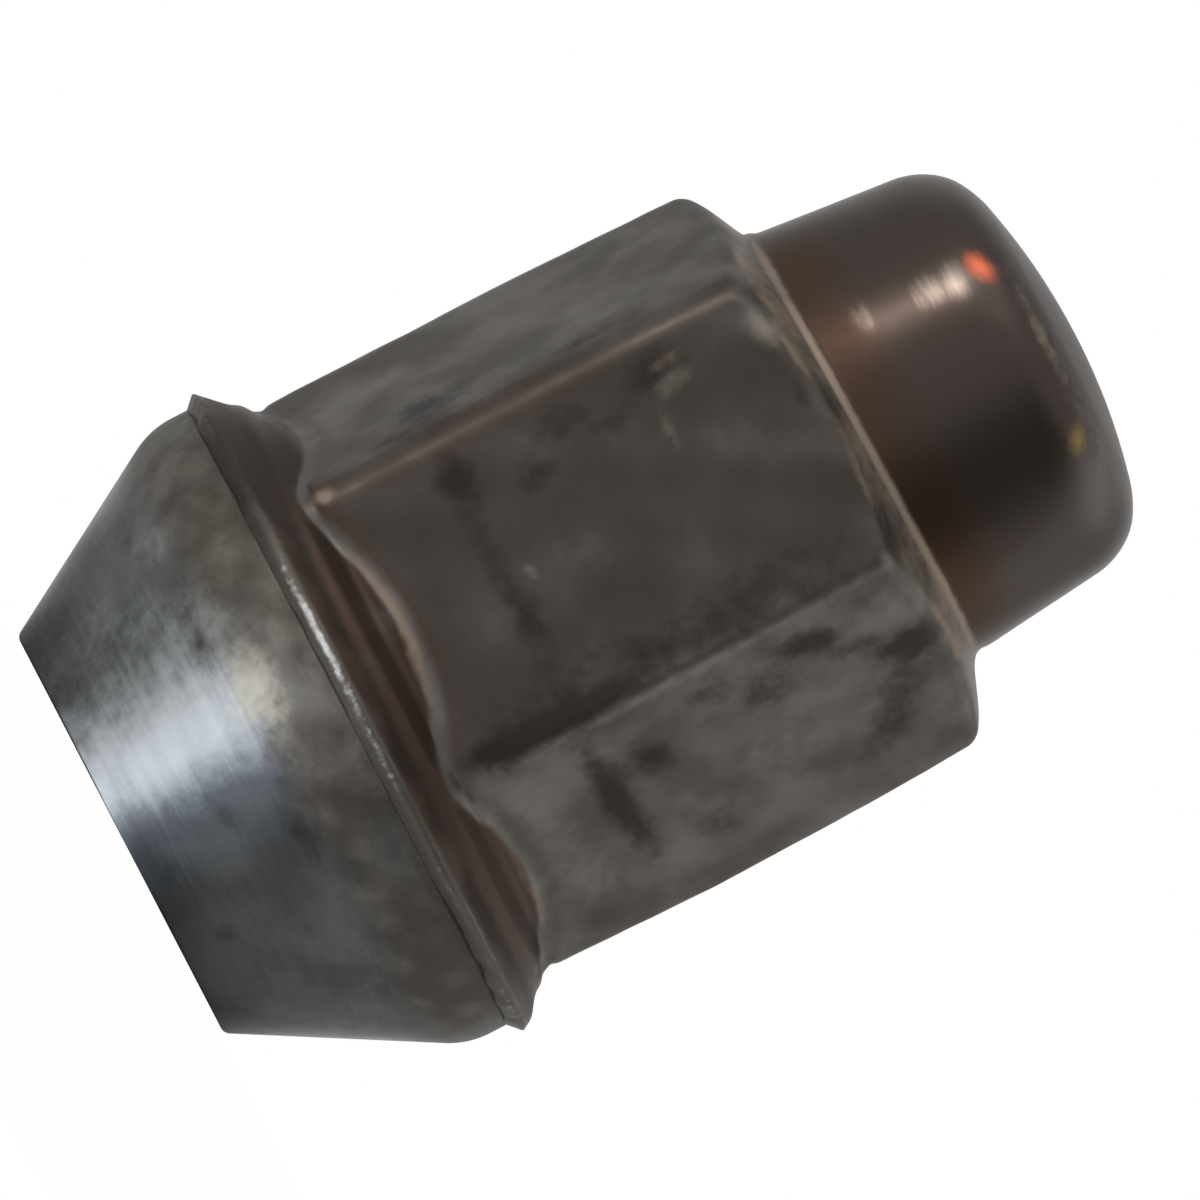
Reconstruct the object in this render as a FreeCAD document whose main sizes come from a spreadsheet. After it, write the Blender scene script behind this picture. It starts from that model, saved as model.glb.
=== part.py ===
# Capped wheel nut: a steel nut with a conical seat, closed by a pressed sheet-metal cap.
# Millimetres. The thread axis is Z, the open end of the seat lies on z = 0 and the cap points up.

import FreeCAD
import Part
import Sketcher
import enum
import math
import os

# Driving sizes, in millimetres and degrees.
SIZES = {
    # thread and open end
    "thread_diameter": 12.0,
    "thread_pitch": 1.5,
    "countersink_depth": 1.2,
    "countersink_half_angle": 45.0,
    "end_land": 1.1,
    "end_edge_radius": 0.35,
    # conical seat and the plain band above it
    "seat_half_angle": 30.0,
    "band_width": 1.4,
    "band_blend_radius": 3.0,
    # hexagon of the cap, widest at the crown and a little narrower at both ends
    "across_flats": 19.0,
    "hex_length": 19.53,
    "crown_rise": 11.7,
    "base_fall": 0.26,
    "top_fall": 0.52,
    # sheet of the cap: its thickness and the inside radius of its bends
    "wall": 0.6,
    "hex_bend_radius": 0.6,
    "round_end_bend_radius": 2.3,
    # flared skirt, shoulder and round end of the cap
    "skirt_overhang": 0.63,
    "flare_angle": 45.0,
    "neck_blend_radius": 0.7,
    "shoulder_step": 1.27,
    "shoulder_angle": 26.0,
    "shoulder_edge_radius": 0.85,
    "round_end_height": 8.07,
    "round_end_draft": 6.0,
    "dome_radius": 24.0,
    # fit of the cap on the nut
    "cap_clearance": 0.05,
    "cap_headroom": 0.3,
}

# Depth of the standard 60 degree internal thread form, as a share of the pitch.
THREAD_DEPTH_FACTOR = 5.0 / 8.0 * math.sqrt(3.0) / 2.0
HEX_SIDES = 6
HALF_SIDE_ANGLE = 180 / HEX_SIDES
FULL_TURN = 360
TOLERANCE = 1e-3


class SketchItem(enum.IntEnum):
    """Items that every sketch has, by the numbers that Sketcher gives them."""

    ACROSS_AXIS = -1
    UPRIGHT_AXIS = -2


ORIGIN = (SketchItem.ACROSS_AXIS, 1)

doc = FreeCAD.newDocument("wheel_nut")
sheet = doc.addObject("Spreadsheet::Sheet", "Sizes")
for row, (alias, value) in enumerate(SIZES.items(), start=1):
    sheet.set("A%d" % row, alias)
    sheet.set("B%d" % row, str(value))
    sheet.setAlias("B%d" % row, alias)
doc.recompute()

# Sizes that follow from the driving ones, as expressions over the sheet.
BORE_RADIUS = f"(Sizes.thread_diameter / 2 - {THREAD_DEPTH_FACTOR} * Sizes.thread_pitch)"
COUNTERSINK_RADIUS = f"({BORE_RADIUS} + Sizes.countersink_depth)"
COUNTERSINK_TOP = "(Sizes.countersink_depth / tan(Sizes.countersink_half_angle))"
END_RADIUS = f"({COUNTERSINK_RADIUS} + Sizes.end_land)"
BAND_RADIUS = f"(Sizes.across_flats / 2 / cos({HALF_SIDE_ANGLE}) + Sizes.skirt_overhang)"
CONE_TOP = f"(({BAND_RADIUS} - {END_RADIUS}) / tan(Sizes.seat_half_angle))"
BAND_TOP = f"({CONE_TOP} + Sizes.band_width)"
CROWN_HEIGHT = f"({BAND_TOP} + Sizes.crown_rise)"
SHOULDER_TOP = f"({BAND_TOP} + Sizes.hex_length)"
CAP_TOP = f"({SHOULDER_TOP} + Sizes.round_end_height)"
BASE_FLATS = "(Sizes.across_flats - Sizes.base_fall)"
CROWN_FLATS = "Sizes.across_flats"
TOP_FLATS = "(Sizes.across_flats - Sizes.top_fall)"
ROUND_RADIUS = f"({TOP_FLATS} / 2 - Sizes.shoulder_step)"
SHOULDER_APEX = f"({SHOULDER_TOP} + {ROUND_RADIUS} * tan(Sizes.shoulder_angle))"
CORE_FLATS = f"({TOP_FLATS} - 2 * Sizes.wall - 2 * Sizes.cap_clearance)"
CORE_HEADROOM = "(Sizes.wall / cos(Sizes.shoulder_angle) + Sizes.cap_headroom)"
CORE_TOP = f"({SHOULDER_APEX} - {CORE_FLATS} / 2 * tan(Sizes.shoulder_angle) - {CORE_HEADROOM})"
FLARE_APEX = f"({BAND_TOP} + {BAND_RADIUS} / tan(Sizes.flare_angle) + Sizes.wall / sin(Sizes.flare_angle))"
CORE_BAND_TOP = f"({BAND_TOP} - Sizes.cap_clearance / sin(Sizes.flare_angle))"
CORE_FLARE_TOP = f"({CORE_BAND_TOP} + ({BAND_RADIUS} - {BORE_RADIUS}) / tan(Sizes.flare_angle))"


def number(expression):
    """Value of an expression over the sheet, as a plain number."""
    result = sheet.evalExpression(expression)
    return float(getattr(result, "Value", result))


def new_sketch(body, role, name, height=None):
    """Sketch on one of the body's own planes, raised by an expression if one is given."""
    sketch = body.newObject("Sketcher::SketchObject", name)
    plane = [item for item in body.Origin.OriginFeatures if item.Role == role][0]
    sketch.AttachmentSupport = [(plane, "")]
    sketch.MapMode = "FlatFace"
    if height is not None:
        sketch.setExpression("AttachmentOffset.Base.z", height)
    return sketch


def relate(sketch, kind, *references):
    """Add a geometric constraint."""
    sketch.addConstraint(Sketcher.Constraint(kind, *references))


def dimension(sketch, kind, references, expression, name, start=None):
    """Add a dimension that follows an expression over the sheet."""
    value = number(expression) if start is None else start
    index = sketch.addConstraint(Sketcher.Constraint(kind, *references, value))
    sketch.renameConstraint(index, name)
    sketch.setExpression(f"Constraints.{name}", expression)


def hold_point(sketch, edge, end, across, up, name):
    """Hold an edge's end at two expressions; None in place of one puts it on that axis."""
    if across is None:
        relate(sketch, "PointOnObject", edge, end, SketchItem.UPRIGHT_AXIS)
    else:
        dimension(sketch, "DistanceX", (*ORIGIN, edge, end), across, name + "_across")
    if up is None:
        relate(sketch, "PointOnObject", edge, end, SketchItem.ACROSS_AXIS)
    else:
        dimension(sketch, "DistanceY", (*ORIGIN, edge, end), up, name + "_up")


def place_of(across, up):
    """Point of a sketch at two expressions, where None is zero."""
    return FreeCAD.Vector(number(across) if across else 0, number(up) if up else 0, 0)


def closed_outline(sketch, corners):
    """Closed run of lines through named corners, each held by expressions for its place."""
    places = [place_of(across, up) for _, across, up in corners]
    following = places[1:] + places[:1]
    for start, end in zip(places, following):
        sketch.addGeometry(Part.LineSegment(start, end), False)
    for index, (name, across, up) in enumerate(corners):
        relate(sketch, "Coincident", index, 2, (index + 1) % len(corners), 1)
        hold_point(sketch, index, 1, across, up, name)


def rounded_hexagon(sketch, across_flats, edge_radius):
    """Regular hexagon about the origin with round corners, two flats square to Y."""
    rounding = number(edge_radius)
    step = 2 * math.pi / HEX_SIDES
    reach = (number(across_flats) / 2 - rounding) / math.cos(step / 2)
    normal = FreeCAD.Vector(0, 0, 1)
    for corner in range(HEX_SIDES):
        turn = corner * step
        centre = FreeCAD.Vector(reach * math.cos(turn), reach * math.sin(turn), 0)
        circle = Part.Circle(centre, normal, rounding)
        sketch.addGeometry(Part.ArcOfCircle(circle, turn - step / 2, turn + step / 2), False)
    arcs = sketch.Geometry[:HEX_SIDES]
    for arc, next_arc in zip(arcs, arcs[1:] + arcs[:1]):
        sketch.addGeometry(Part.LineSegment(arc.EndPoint, next_arc.StartPoint), False)
    ring = sketch.addGeometry(Part.Circle(FreeCAD.Vector(0, 0, 0), normal, reach), True)
    for corner in range(HEX_SIDES):
        side = HEX_SIDES + corner
        relate(sketch, "Tangent", corner, 2, side, 1)
        relate(sketch, "Tangent", side, 2, (corner + 1) % HEX_SIDES, 1)
        relate(sketch, "PointOnObject", corner, 3, ring)
    for corner in range(1, HEX_SIDES):
        relate(sketch, "Equal", 0, corner)
        relate(sketch, "Equal", HEX_SIDES, HEX_SIDES + corner)
    relate(sketch, "Coincident", ring, 3, *ORIGIN)
    relate(sketch, "PointOnObject", 0, 3, SketchItem.ACROSS_AXIS)
    dimension(sketch, "Radius", (0,), edge_radius, "edge_radius")
    dimension(sketch, "Distance", (*ORIGIN, HEX_SIDES), f"{across_flats} / 2", "flat_distance")


def turn_profile(body, kind, sketch, name):
    """Revolve a sketch fully about its upright axis, adding or cutting."""
    feature = body.newObject(kind, name)
    feature.Profile = sketch
    feature.ReferenceAxis = (sketch, ["V_Axis"])
    feature.Angle = FULL_TURN
    doc.recompute()
    return feature


def cut_profile(body, sketch, name):
    """Revolve a sketch as a cut, and make sure that it took material away."""
    before = body.Tip.Shape.Volume
    feature = turn_profile(body, "PartDesign::Groove", sketch, name)
    if feature.Shape.Volume > before - TOLERANCE:
        raise RuntimeError(f"{name} cuts nothing")


def blend(body, name, chosen, radius):
    """Round the edges of the body's last feature that a test picks out."""
    base = body.Tip
    edges = [f"Edge{index}" for index, edge in enumerate(base.Shape.Edges, start=1) if chosen(edge)]
    fillet = body.newObject("PartDesign::Fillet", name)
    fillet.Base = (base, edges)
    fillet.setExpression("Radius", radius)
    doc.recompute()


def is_circle_at(radius, height):
    """Test for a full circle about the axis, of a given radius and height."""
    size = number(radius)
    level = number(height)

    def test(edge):
        if edge.Degenerated or len(edge.Vertexes) > 1 or not isinstance(edge.Curve, Part.Circle):
            return False
        return abs(edge.Curve.Radius - size) < TOLERANCE and abs(edge.Curve.Center.z - level) < TOLERANCE

    return test


def is_edge_on_cone(apex, angle_from_axis, lowest, highest):
    """Test for an open edge that lies on a cone about the axis, between two heights."""
    slope = math.tan(math.radians(angle_from_axis))
    top = number(apex)

    def on_cone(point):
        return abs((top - point.z) * slope - math.hypot(point.x, point.y)) < TOLERANCE

    def test(edge):
        if edge.Degenerated or len(edge.Vertexes) < 2:
            return False
        first, last = edge.ParameterRange
        points = [edge.valueAt(first), edge.valueAt((first + last) / 2), edge.valueAt(last)]
        inside = all(lowest + TOLERANCE < point.z < highest - TOLERANCE for point in points)
        straight = abs((points[0] + points[2] - points[1] * 2).Length) < TOLERANCE
        return inside and not straight and all(map(on_cone, points))

    return test


def nut_core():
    """Steel nut: hexagon with a turned bevel, seat, band and flare, bored and countersunk."""
    body = doc.addObject("PartDesign::Body", "NutCore")
    body.Label = "nut_core"
    outline = new_sketch(body, "XY_Plane", "CoreHexagon", BAND_TOP)
    rounded_hexagon(outline, CORE_FLATS, "(Sizes.hex_bend_radius + Sizes.wall)")
    pad = body.newObject("PartDesign::Pad", "CoreHexPad")
    pad.Profile = outline
    pad.setExpression("Length", f"{CORE_TOP} - {BAND_TOP}")
    doc.recompute()

    # The bevel on top lies parallel to the cap's shoulder.
    bevel = new_sketch(body, "XZ_Plane", "CoreBevelProfile")
    bevel_low = f"{CORE_TOP} - {CORE_FLATS} / 2 * tan(Sizes.shoulder_angle)"
    closed_outline(bevel, [
        ("inner", f"{CORE_FLATS} / 2", CORE_TOP),
        ("outer_top", CORE_FLATS, CORE_TOP),
        ("outer_low", CORE_FLATS, bevel_low),
    ])
    cut_profile(body, bevel, "CoreBevel")

    seat = new_sketch(body, "XZ_Plane", "SeatProfile")
    closed_outline(seat, [
        ("bottom", None, None),
        ("end", END_RADIUS, None),
        ("cone", BAND_RADIUS, CONE_TOP),
        ("band", BAND_RADIUS, CORE_BAND_TOP),
        ("flare", BORE_RADIUS, CORE_FLARE_TOP),
        ("middle", None, CORE_FLARE_TOP),
    ])
    turn_profile(body, "PartDesign::Revolution", seat, "Seat")
    blend(body, "EndEdge", is_circle_at(END_RADIUS, "0"), "Sizes.end_edge_radius")
    blend(body, "BandBlend", is_circle_at(BAND_RADIUS, CONE_TOP), "Sizes.band_blend_radius")

    bore = new_sketch(body, "XZ_Plane", "BoreProfile")
    closed_outline(bore, [
        ("bottom", None, None),
        ("mouth", COUNTERSINK_RADIUS, None),
        ("throat", BORE_RADIUS, COUNTERSINK_TOP),
        ("top", BORE_RADIUS, CORE_TOP),
        ("middle", None, CORE_TOP),
    ])
    cut_profile(body, bore, "Bore")
    return body


def cap_outline(sketch, inset):
    """Half section of the cap without its hexagon, moved in from the outer skin by an inset.

    The skirt is cut off square to its flare. An inset section runs past that cut.
    """
    lift = f"(Sizes.wall - {inset})"
    tip_radius = f"({BAND_RADIUS} + {lift} * cos(Sizes.flare_angle) + {inset} * sin(Sizes.flare_angle))"
    tip_height = f"({BAND_TOP} + {lift} * sin(Sizes.flare_angle) - {inset} * cos(Sizes.flare_angle))"
    bottom = f"({tip_height} - {tip_radius} * tan(Sizes.flare_angle))"
    foot_drop = f"{inset} / cos(Sizes.shoulder_angle)"
    foot_shift = f"({inset} / cos(Sizes.round_end_draft) - {foot_drop} * tan(Sizes.round_end_draft))"
    foot_radius = f"({ROUND_RADIUS} - {foot_shift})"
    foot_height = f"({SHOULDER_TOP} - {foot_drop})"
    flare_top = f"({tip_height} + ({tip_radius} - {foot_radius}) / tan(Sizes.flare_angle))"
    cap_top = f"({CAP_TOP} - {inset})"
    edge_radius = f"(Sizes.round_end_bend_radius + Sizes.wall - {inset})"
    dome_radius = f"(Sizes.dome_radius - {inset})"

    # The rim's arc touches the drafted side and the dome, so its centre lies on lines inside both.
    draft = math.radians(number("Sizes.round_end_draft"))
    rounding = number(edge_radius)
    dome = number(dome_radius)
    outward = FreeCAD.Vector(math.cos(draft), math.sin(draft), 0)
    along = FreeCAD.Vector(-math.sin(draft), math.cos(draft), 0)
    normal = FreeCAD.Vector(0, 0, 1)
    foot = place_of(foot_radius, foot_height)
    top = place_of(None, cap_top)
    dome_centre = top - FreeCAD.Vector(0, dome, 0)
    offset = foot - outward * rounding - dome_centre
    drift = offset.dot(along)
    run = math.sqrt(drift ** 2 - offset.dot(offset) + (dome - rounding) ** 2) - drift
    rim_centre = foot - outward * rounding + along * run
    meeting = math.atan2(rim_centre.y - dome_centre.y, rim_centre.x - dome_centre.x)

    places = [
        place_of(None, bottom),
        place_of(tip_radius, tip_height),
        place_of(foot_radius, flare_top),
        foot,
        foot + along * run,
    ]
    for start, end in zip(places, places[1:]):
        sketch.addGeometry(Part.LineSegment(start, end), False)
    cut, skirt, column, side = range(len(places) - 1)
    rim_circle = Part.Circle(rim_centre, normal, rounding)
    dome_circle = Part.Circle(dome_centre, normal, dome)
    rim = sketch.addGeometry(Part.ArcOfCircle(rim_circle, draft, meeting), False)
    end = sketch.addGeometry(Part.ArcOfCircle(dome_circle, meeting, math.pi / 2), False)
    back = sketch.addGeometry(Part.LineSegment(top, places[0]), False)

    for first, second in ((cut, skirt), (skirt, column), (column, side), (end, back), (back, cut)):
        relate(sketch, "Coincident", first, 2, second, 1)
    relate(sketch, "Tangent", side, 2, rim, 1)
    relate(sketch, "Tangent", rim, 2, end, 1)
    relate(sketch, "PointOnObject", end, 3, SketchItem.UPRIGHT_AXIS)
    hold_point(sketch, cut, 1, None, bottom, "bottom")
    hold_point(sketch, skirt, 1, tip_radius, tip_height, "tip")
    hold_point(sketch, column, 1, foot_radius, flare_top, "flare")
    hold_point(sketch, side, 1, foot_radius, foot_height, "foot")
    hold_point(sketch, back, 1, None, cap_top, "top")
    dimension(sketch, "Radius", (rim,), edge_radius, "rim_radius")
    dimension(sketch, "Radius", (end,), dome_radius, "dome_radius")
    side_angle = "90 + Sizes.round_end_draft"
    dimension(sketch, "Angle", (side,), side_angle, "side_angle", start=math.pi / 2 + draft)


def cap_form(name, inset):
    """Solid form of the cap: its outer skin, or the room inside it when moved in by an inset."""
    body = doc.addObject("PartDesign::Body", name)
    sections = []
    for label, flats, height in (
        ("Base", BASE_FLATS, BAND_TOP),
        ("Crown", CROWN_FLATS, CROWN_HEIGHT),
        ("Top", TOP_FLATS, SHOULDER_TOP),
    ):
        section = new_sketch(body, "XY_Plane", f"{name}Hex{label}", height)
        bend = f"(Sizes.hex_bend_radius + Sizes.wall - {inset})"
        rounded_hexagon(section, f"({flats} - 2 * {inset})", bend)
        sections.append(section)
    doc.recompute()
    hexagon = body.newObject("PartDesign::AdditiveLoft", f"{name}CrownedHexagon")
    hexagon.Profile = sections[0]
    hexagon.Sections = sections[1:]
    doc.recompute()

    # A cone turned over the hexagon makes the shoulder.
    apex = f"({SHOULDER_APEX} - {inset} / cos(Sizes.shoulder_angle))"
    reach = "Sizes.across_flats"
    shoulder = new_sketch(body, "XZ_Plane", f"{name}ShoulderProfile")
    closed_outline(shoulder, [
        ("apex", None, apex),
        ("outer_top", reach, apex),
        ("outer_low", reach, f"{apex} - {reach} * tan(Sizes.shoulder_angle)"),
    ])
    cut_profile(body, shoulder, f"{name}Shoulder")

    profile = new_sketch(body, "XZ_Plane", f"{name}Profile")
    cap_outline(profile, inset)
    turn_profile(body, "PartDesign::Revolution", profile, f"{name}Turned")
    return body


def cap():
    """Sheet cap: the outer form, its bends rounded, less the room inside it, open at the skirt."""
    skin = cap_form("CapSkin", "0")
    slope = 90 - number("Sizes.shoulder_angle")
    shoulder = is_edge_on_cone(SHOULDER_APEX, slope, number(CROWN_HEIGHT), number(SHOULDER_TOP))
    blend(skin, "ShoulderEdge", shoulder, "Sizes.shoulder_edge_radius")
    neck = is_edge_on_cone(FLARE_APEX, number("Sizes.flare_angle"), number(BAND_TOP), number(CROWN_HEIGHT))
    blend(skin, "NeckBlend", neck, "Sizes.neck_blend_radius")
    room = cap_form("CapRoom", "Sizes.wall")
    sheet_cap = doc.addObject("Part::Cut", "Cap")
    sheet_cap.Label = "cap"
    sheet_cap.Base = skin
    sheet_cap.Tool = room
    doc.recompute()
    return sheet_cap


def main():
    """Build both pieces, check them and write one file for each."""
    pieces = [nut_core(), cap()]
    for item in doc.Objects:
        if "Invalid" in item.State or "Error" in item.State:
            raise RuntimeError(f"{item.Name} failed")
    for piece in pieces:
        if piece.Shape.isNull() or not piece.Shape.isValid():
            raise RuntimeError(f"{piece.Label} has no valid shape")
    os.makedirs("parts", exist_ok=True)
    for piece in pieces:
        piece.Shape.exportStep(f"parts/{piece.Label}.step")
        box = piece.Shape.optimalBoundingBox()
        print(piece.Label, len(piece.Shape.Solids), f"{piece.Shape.Volume:.1f} mm3", box)


main()
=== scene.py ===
"""Looks of a worn closed wheel nut: a turned steel nut under a pressed sheet-steel cap.

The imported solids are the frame. Both pieces are drawn again as fine meshes with the
same sizes, with the thread, the ragged lip, dents and wear that the solids leave out.
All sizes are in millimetres, and meshes are written in metres.
"""

import logging
import math
from collections.abc import Callable
from dataclasses import dataclass, field
from enum import Enum

import bpy
import numpy as np
from mathutils import Matrix, Vector


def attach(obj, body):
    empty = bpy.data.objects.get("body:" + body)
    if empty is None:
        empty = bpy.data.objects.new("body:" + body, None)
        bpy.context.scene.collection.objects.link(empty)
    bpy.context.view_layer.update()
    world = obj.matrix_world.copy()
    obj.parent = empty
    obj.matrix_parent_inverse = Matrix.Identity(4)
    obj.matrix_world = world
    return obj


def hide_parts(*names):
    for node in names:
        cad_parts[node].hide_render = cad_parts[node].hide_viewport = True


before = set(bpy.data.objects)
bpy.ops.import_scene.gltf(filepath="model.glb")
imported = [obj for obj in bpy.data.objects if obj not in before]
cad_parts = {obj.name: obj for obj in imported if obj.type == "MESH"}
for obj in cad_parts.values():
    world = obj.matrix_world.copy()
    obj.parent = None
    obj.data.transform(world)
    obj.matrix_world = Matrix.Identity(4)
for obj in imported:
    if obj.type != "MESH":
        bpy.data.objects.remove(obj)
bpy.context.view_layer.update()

LOG = logging.getLogger("wheel_nut")
MM = 0.001
HEX_SIDES = 6
SIDE_DEGREES = 360.0 / HEX_SIDES
SIDE_ANGLE = math.radians(SIDE_DEGREES)
# Halvings that find the end of a form on a ray to far less than a micrometre.
HALVINGS = 36
# Edges that bend by more than this stay sharp.
SHARP_BEND = math.radians(38)
# Spans that hold most, and nearly all, of a noise texture's values.
NOISE_CORE = (0.34, 0.66)
NOISE_SPAN = (0.3, 0.7)
# A layer fades out where its mask is below this value.
MASK_FLOOR = 0.25


class Flat(Enum):
    """Flats of the hexagon, by the angle in degrees that each one faces about the axis."""

    UPPER = -150.0
    MIDDLE = -90.0
    LOWER = -30.0
    BACK_LOWER = 30.0
    BACK = 90.0
    BACK_UPPER = 150.0


class Ends(Enum):
    """How the first and last ring of a lofted mesh are closed."""

    POLES = "poles"
    JOINED = "joined"


def linear(colour: str) -> tuple[float, float, float, float]:
    """Turn an sRGB hex colour into linear RGBA.

    Args:
        colour: Six hex digits after a hash sign.

    Returns:
        Linear red, green, blue and an alpha of one.
    """
    channels = [int(colour[at:at + 2], 16) / 255 for at in (1, 3, 5)]
    lit = [c / 12.92 if c <= 0.04045 else ((c + 0.055) / 1.055) ** 2.4 for c in channels]
    return (*lit, 1.0)


def ease(value: np.ndarray, low: float, high: float) -> np.ndarray:
    """Smooth step from 0 at low to 1 at high, which may be the smaller one."""
    part = np.clip((value - low) / (high - low), 0.0, 1.0)
    return part * part * (3.0 - 2.0 * part)


def bell(value: np.ndarray, middle: float, half_width: float) -> np.ndarray:
    """Bell curve of height 1 at the middle, with 1/e left at the half width."""
    return np.exp(-((value - middle) / half_width) ** 2)


def turned_from(turn: np.ndarray, direction: float) -> np.ndarray:
    """Angle in radians, the shorter way round, from a direction about the axis in degrees."""
    return (turn - math.radians(direction) + math.pi) % (2 * math.pi) - math.pi


def off_edge(turn: np.ndarray) -> np.ndarray:
    """Angle in radians from the hexagon's nearest edge; one edge points along X."""
    return np.abs((turn + SIDE_ANGLE / 2) % SIDE_ANGLE - SIDE_ANGLE / 2)


def in_space(section: np.ndarray, turn: np.ndarray) -> np.ndarray:
    """Points with x, y, z on the last axis, from radius and height on it and an angle in radians."""
    radius, height = section[..., 0], section[..., 1]
    return np.stack([radius * np.cos(turn), radius * np.sin(turn), height], -1)


def halved(inside: Callable[[np.ndarray], np.ndarray], low: np.ndarray, high: np.ndarray) -> np.ndarray:
    """Find where a form ends along rays, by halving the stretch that holds its end.

    Args:
        inside: Tells whether each ray is still inside the form at a length.
        low: Lengths inside the form.
        high: Lengths outside it.

    Returns:
        Lengths at which the form ends.
    """
    for _ in range(HALVINGS):
        middle = (low + high) / 2
        here = inside(middle)
        low, high = np.where(here, middle, low), np.where(here, high, middle)
    return low


def join_round(first: np.ndarray, second: np.ndarray, radius: float, bend: float) -> np.ndarray:
    """Distance to two joined forms, with a hollow blend where they meet.

    Args:
        first: Signed distance to one form.
        second: Signed distance to the other form.
        radius: Radius of the blend.
        bend: Angle between both faces' normals, in degrees.

    Returns:
        Signed distance to both together.
    """
    reach = radius * (1 - math.cos(math.radians(bend)))
    near = np.hypot(np.maximum(reach - first, 0), np.maximum(reach - second, 0))
    return np.maximum(reach, np.minimum(first, second)) - near


def meet_round(first: np.ndarray, second: np.ndarray, radius: float, bend: float) -> np.ndarray:
    """Distance to what two forms share, with a rounded edge: join_round turned inside out."""
    return -join_round(-first, -second, radius, bend)


def hexagon_distance(
    radius: np.ndarray, turn: np.ndarray, half_flats: np.ndarray, edge: np.ndarray
) -> np.ndarray:
    """Signed distance across the axis to a hexagon with round edges, one of them along X.

    Args:
        radius: Distance of each point from the axis.
        turn: Angle of each point about the axis, in radians.
        half_flats: Distance of the flats from the axis.
        edge: Radius of the edges.

    Returns:
        Distance, negative inside.
    """
    fold, half = off_edge(turn), SIDE_ANGLE / 2
    x, y = radius * np.cos(fold), radius * np.sin(fold)
    centre = (half_flats - edge) / math.cos(half)
    along = -(x - centre) * math.sin(half) + y * math.cos(half)
    flat = x * math.cos(half) + y * math.sin(half) - half_flats
    return np.where(along < 0, np.hypot(x - centre, y) - edge, flat)


@dataclass(frozen=True)
class Ripple:
    """Seeded smooth unevenness of a surface, as a sum of plane waves.

    Attributes:
        seed: Seed of the waves.
        wave: Mean wave length.
        waves: Number of waves.
    """

    seed: int
    wave: float
    waves: int = 16

    def at(self, points: np.ndarray) -> np.ndarray:
        """Read the unevenness at points.

        Args:
            points: Points, with x, y, z on the last axis.

        Returns:
            Values about zero, mostly within plus and minus 2.
        """
        rng = np.random.default_rng(self.seed)
        directions = rng.normal(size=(self.waves, 3))
        directions /= np.linalg.norm(directions, axis=1, keepdims=True)
        lengths = self.wave * rng.uniform(0.6, 1.7, self.waves)
        phases = rng.uniform(0, 2 * math.pi, self.waves)
        total = np.zeros(points.shape[:-1])
        for direction, length, phase in zip(directions, lengths, phases):
            total += np.sin(points @ direction * (2 * math.pi / length) + phase)
        return total / math.sqrt(self.waves / 2)


@dataclass(frozen=True)
class Mark:
    """Spot on one flat of the hexagon: a dent, a stain, a rubbed place, or painted shade, highlight or
    glint.

    Attributes:
        flat: Flat that carries it.
        across: Distance from the middle of the flat, towards growing angles.
        height: Height above the open end.
        half_across: Half size across the flat.
        half_height: Half size along the axis.
        lean: Turn of the mark on the flat, in degrees.
        depth: Strength, or depth in millimetres for a dent.
    """

    flat: Flat
    across: float
    height: float
    half_across: float
    half_height: float
    lean: float = 0.0
    depth: float = 1.0

    def at(self, points: np.ndarray) -> np.ndarray:
        """Read the mark at points.

        Args:
            points: Points, with x, y, z on the last axis.

        Returns:
            The depth at the mark's middle, falling to 0 around it.
        """
        facing = math.radians(self.flat.value)
        across = -points[..., 0] * math.sin(facing) + points[..., 1] * math.cos(facing)
        outward = points[..., 0] * math.cos(facing) + points[..., 1] * math.sin(facing)
        lean = math.radians(self.lean)
        u, v = across - self.across, points[..., 2] - self.height
        a = (u * math.cos(lean) + v * math.sin(lean)) / self.half_across
        b = (-u * math.sin(lean) + v * math.cos(lean)) / self.half_height
        return self.depth * np.exp(-(a * a + b * b)) * (outward > 0)


@dataclass(frozen=True)
class Bead:
    """Ring that stands out all round the cap, or a groove.

    Attributes:
        height: Height of its middle.
        half_height: Half size along the axis.
        rise: How far it stands out, below zero for a groove.
    """

    height: float
    half_height: float
    rise: float

    def at(self, height: np.ndarray) -> np.ndarray:
        """Read at heights how far the ring stands out."""
        return self.rise * bell(height, self.height, self.half_height)


def total(forms: tuple[Mark | Bead, ...], places: np.ndarray) -> np.ndarray:
    """Sum of marks at points, or of beads at heights."""
    return sum(form.at(places) for form in forms)


def stretches(turn: np.ndarray, rows: tuple[tuple[float, float, float], ...]) -> np.ndarray:
    """Sum of soft stretches round the axis.

    Args:
        turn: Angles about the axis, in radians.
        rows: Angle and half width in degrees and strength of each stretch.

    Returns:
        Strength at each angle.
    """
    strength = np.zeros_like(turn)
    for angle, width, share in rows:
        strength += share * bell(turned_from(turn, angle), 0.0, math.radians(width))
    return strength


def mesh_object(
    name: str, points: list[tuple[float, float, float]], faces: list[tuple[int, ...]]
) -> bpy.types.Object:
    """Make a mesh object and link it to the scene.

    Args:
        name: Name of the object and of its mesh.
        points: Points in metres.
        faces: Numbers of the points of each face.

    Returns:
        The object.
    """
    mesh = bpy.data.meshes.new(name)
    mesh.from_pydata(points, [], faces)
    made = bpy.data.objects.new(name, mesh)
    bpy.context.scene.collection.objects.link(made)
    return made


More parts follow.
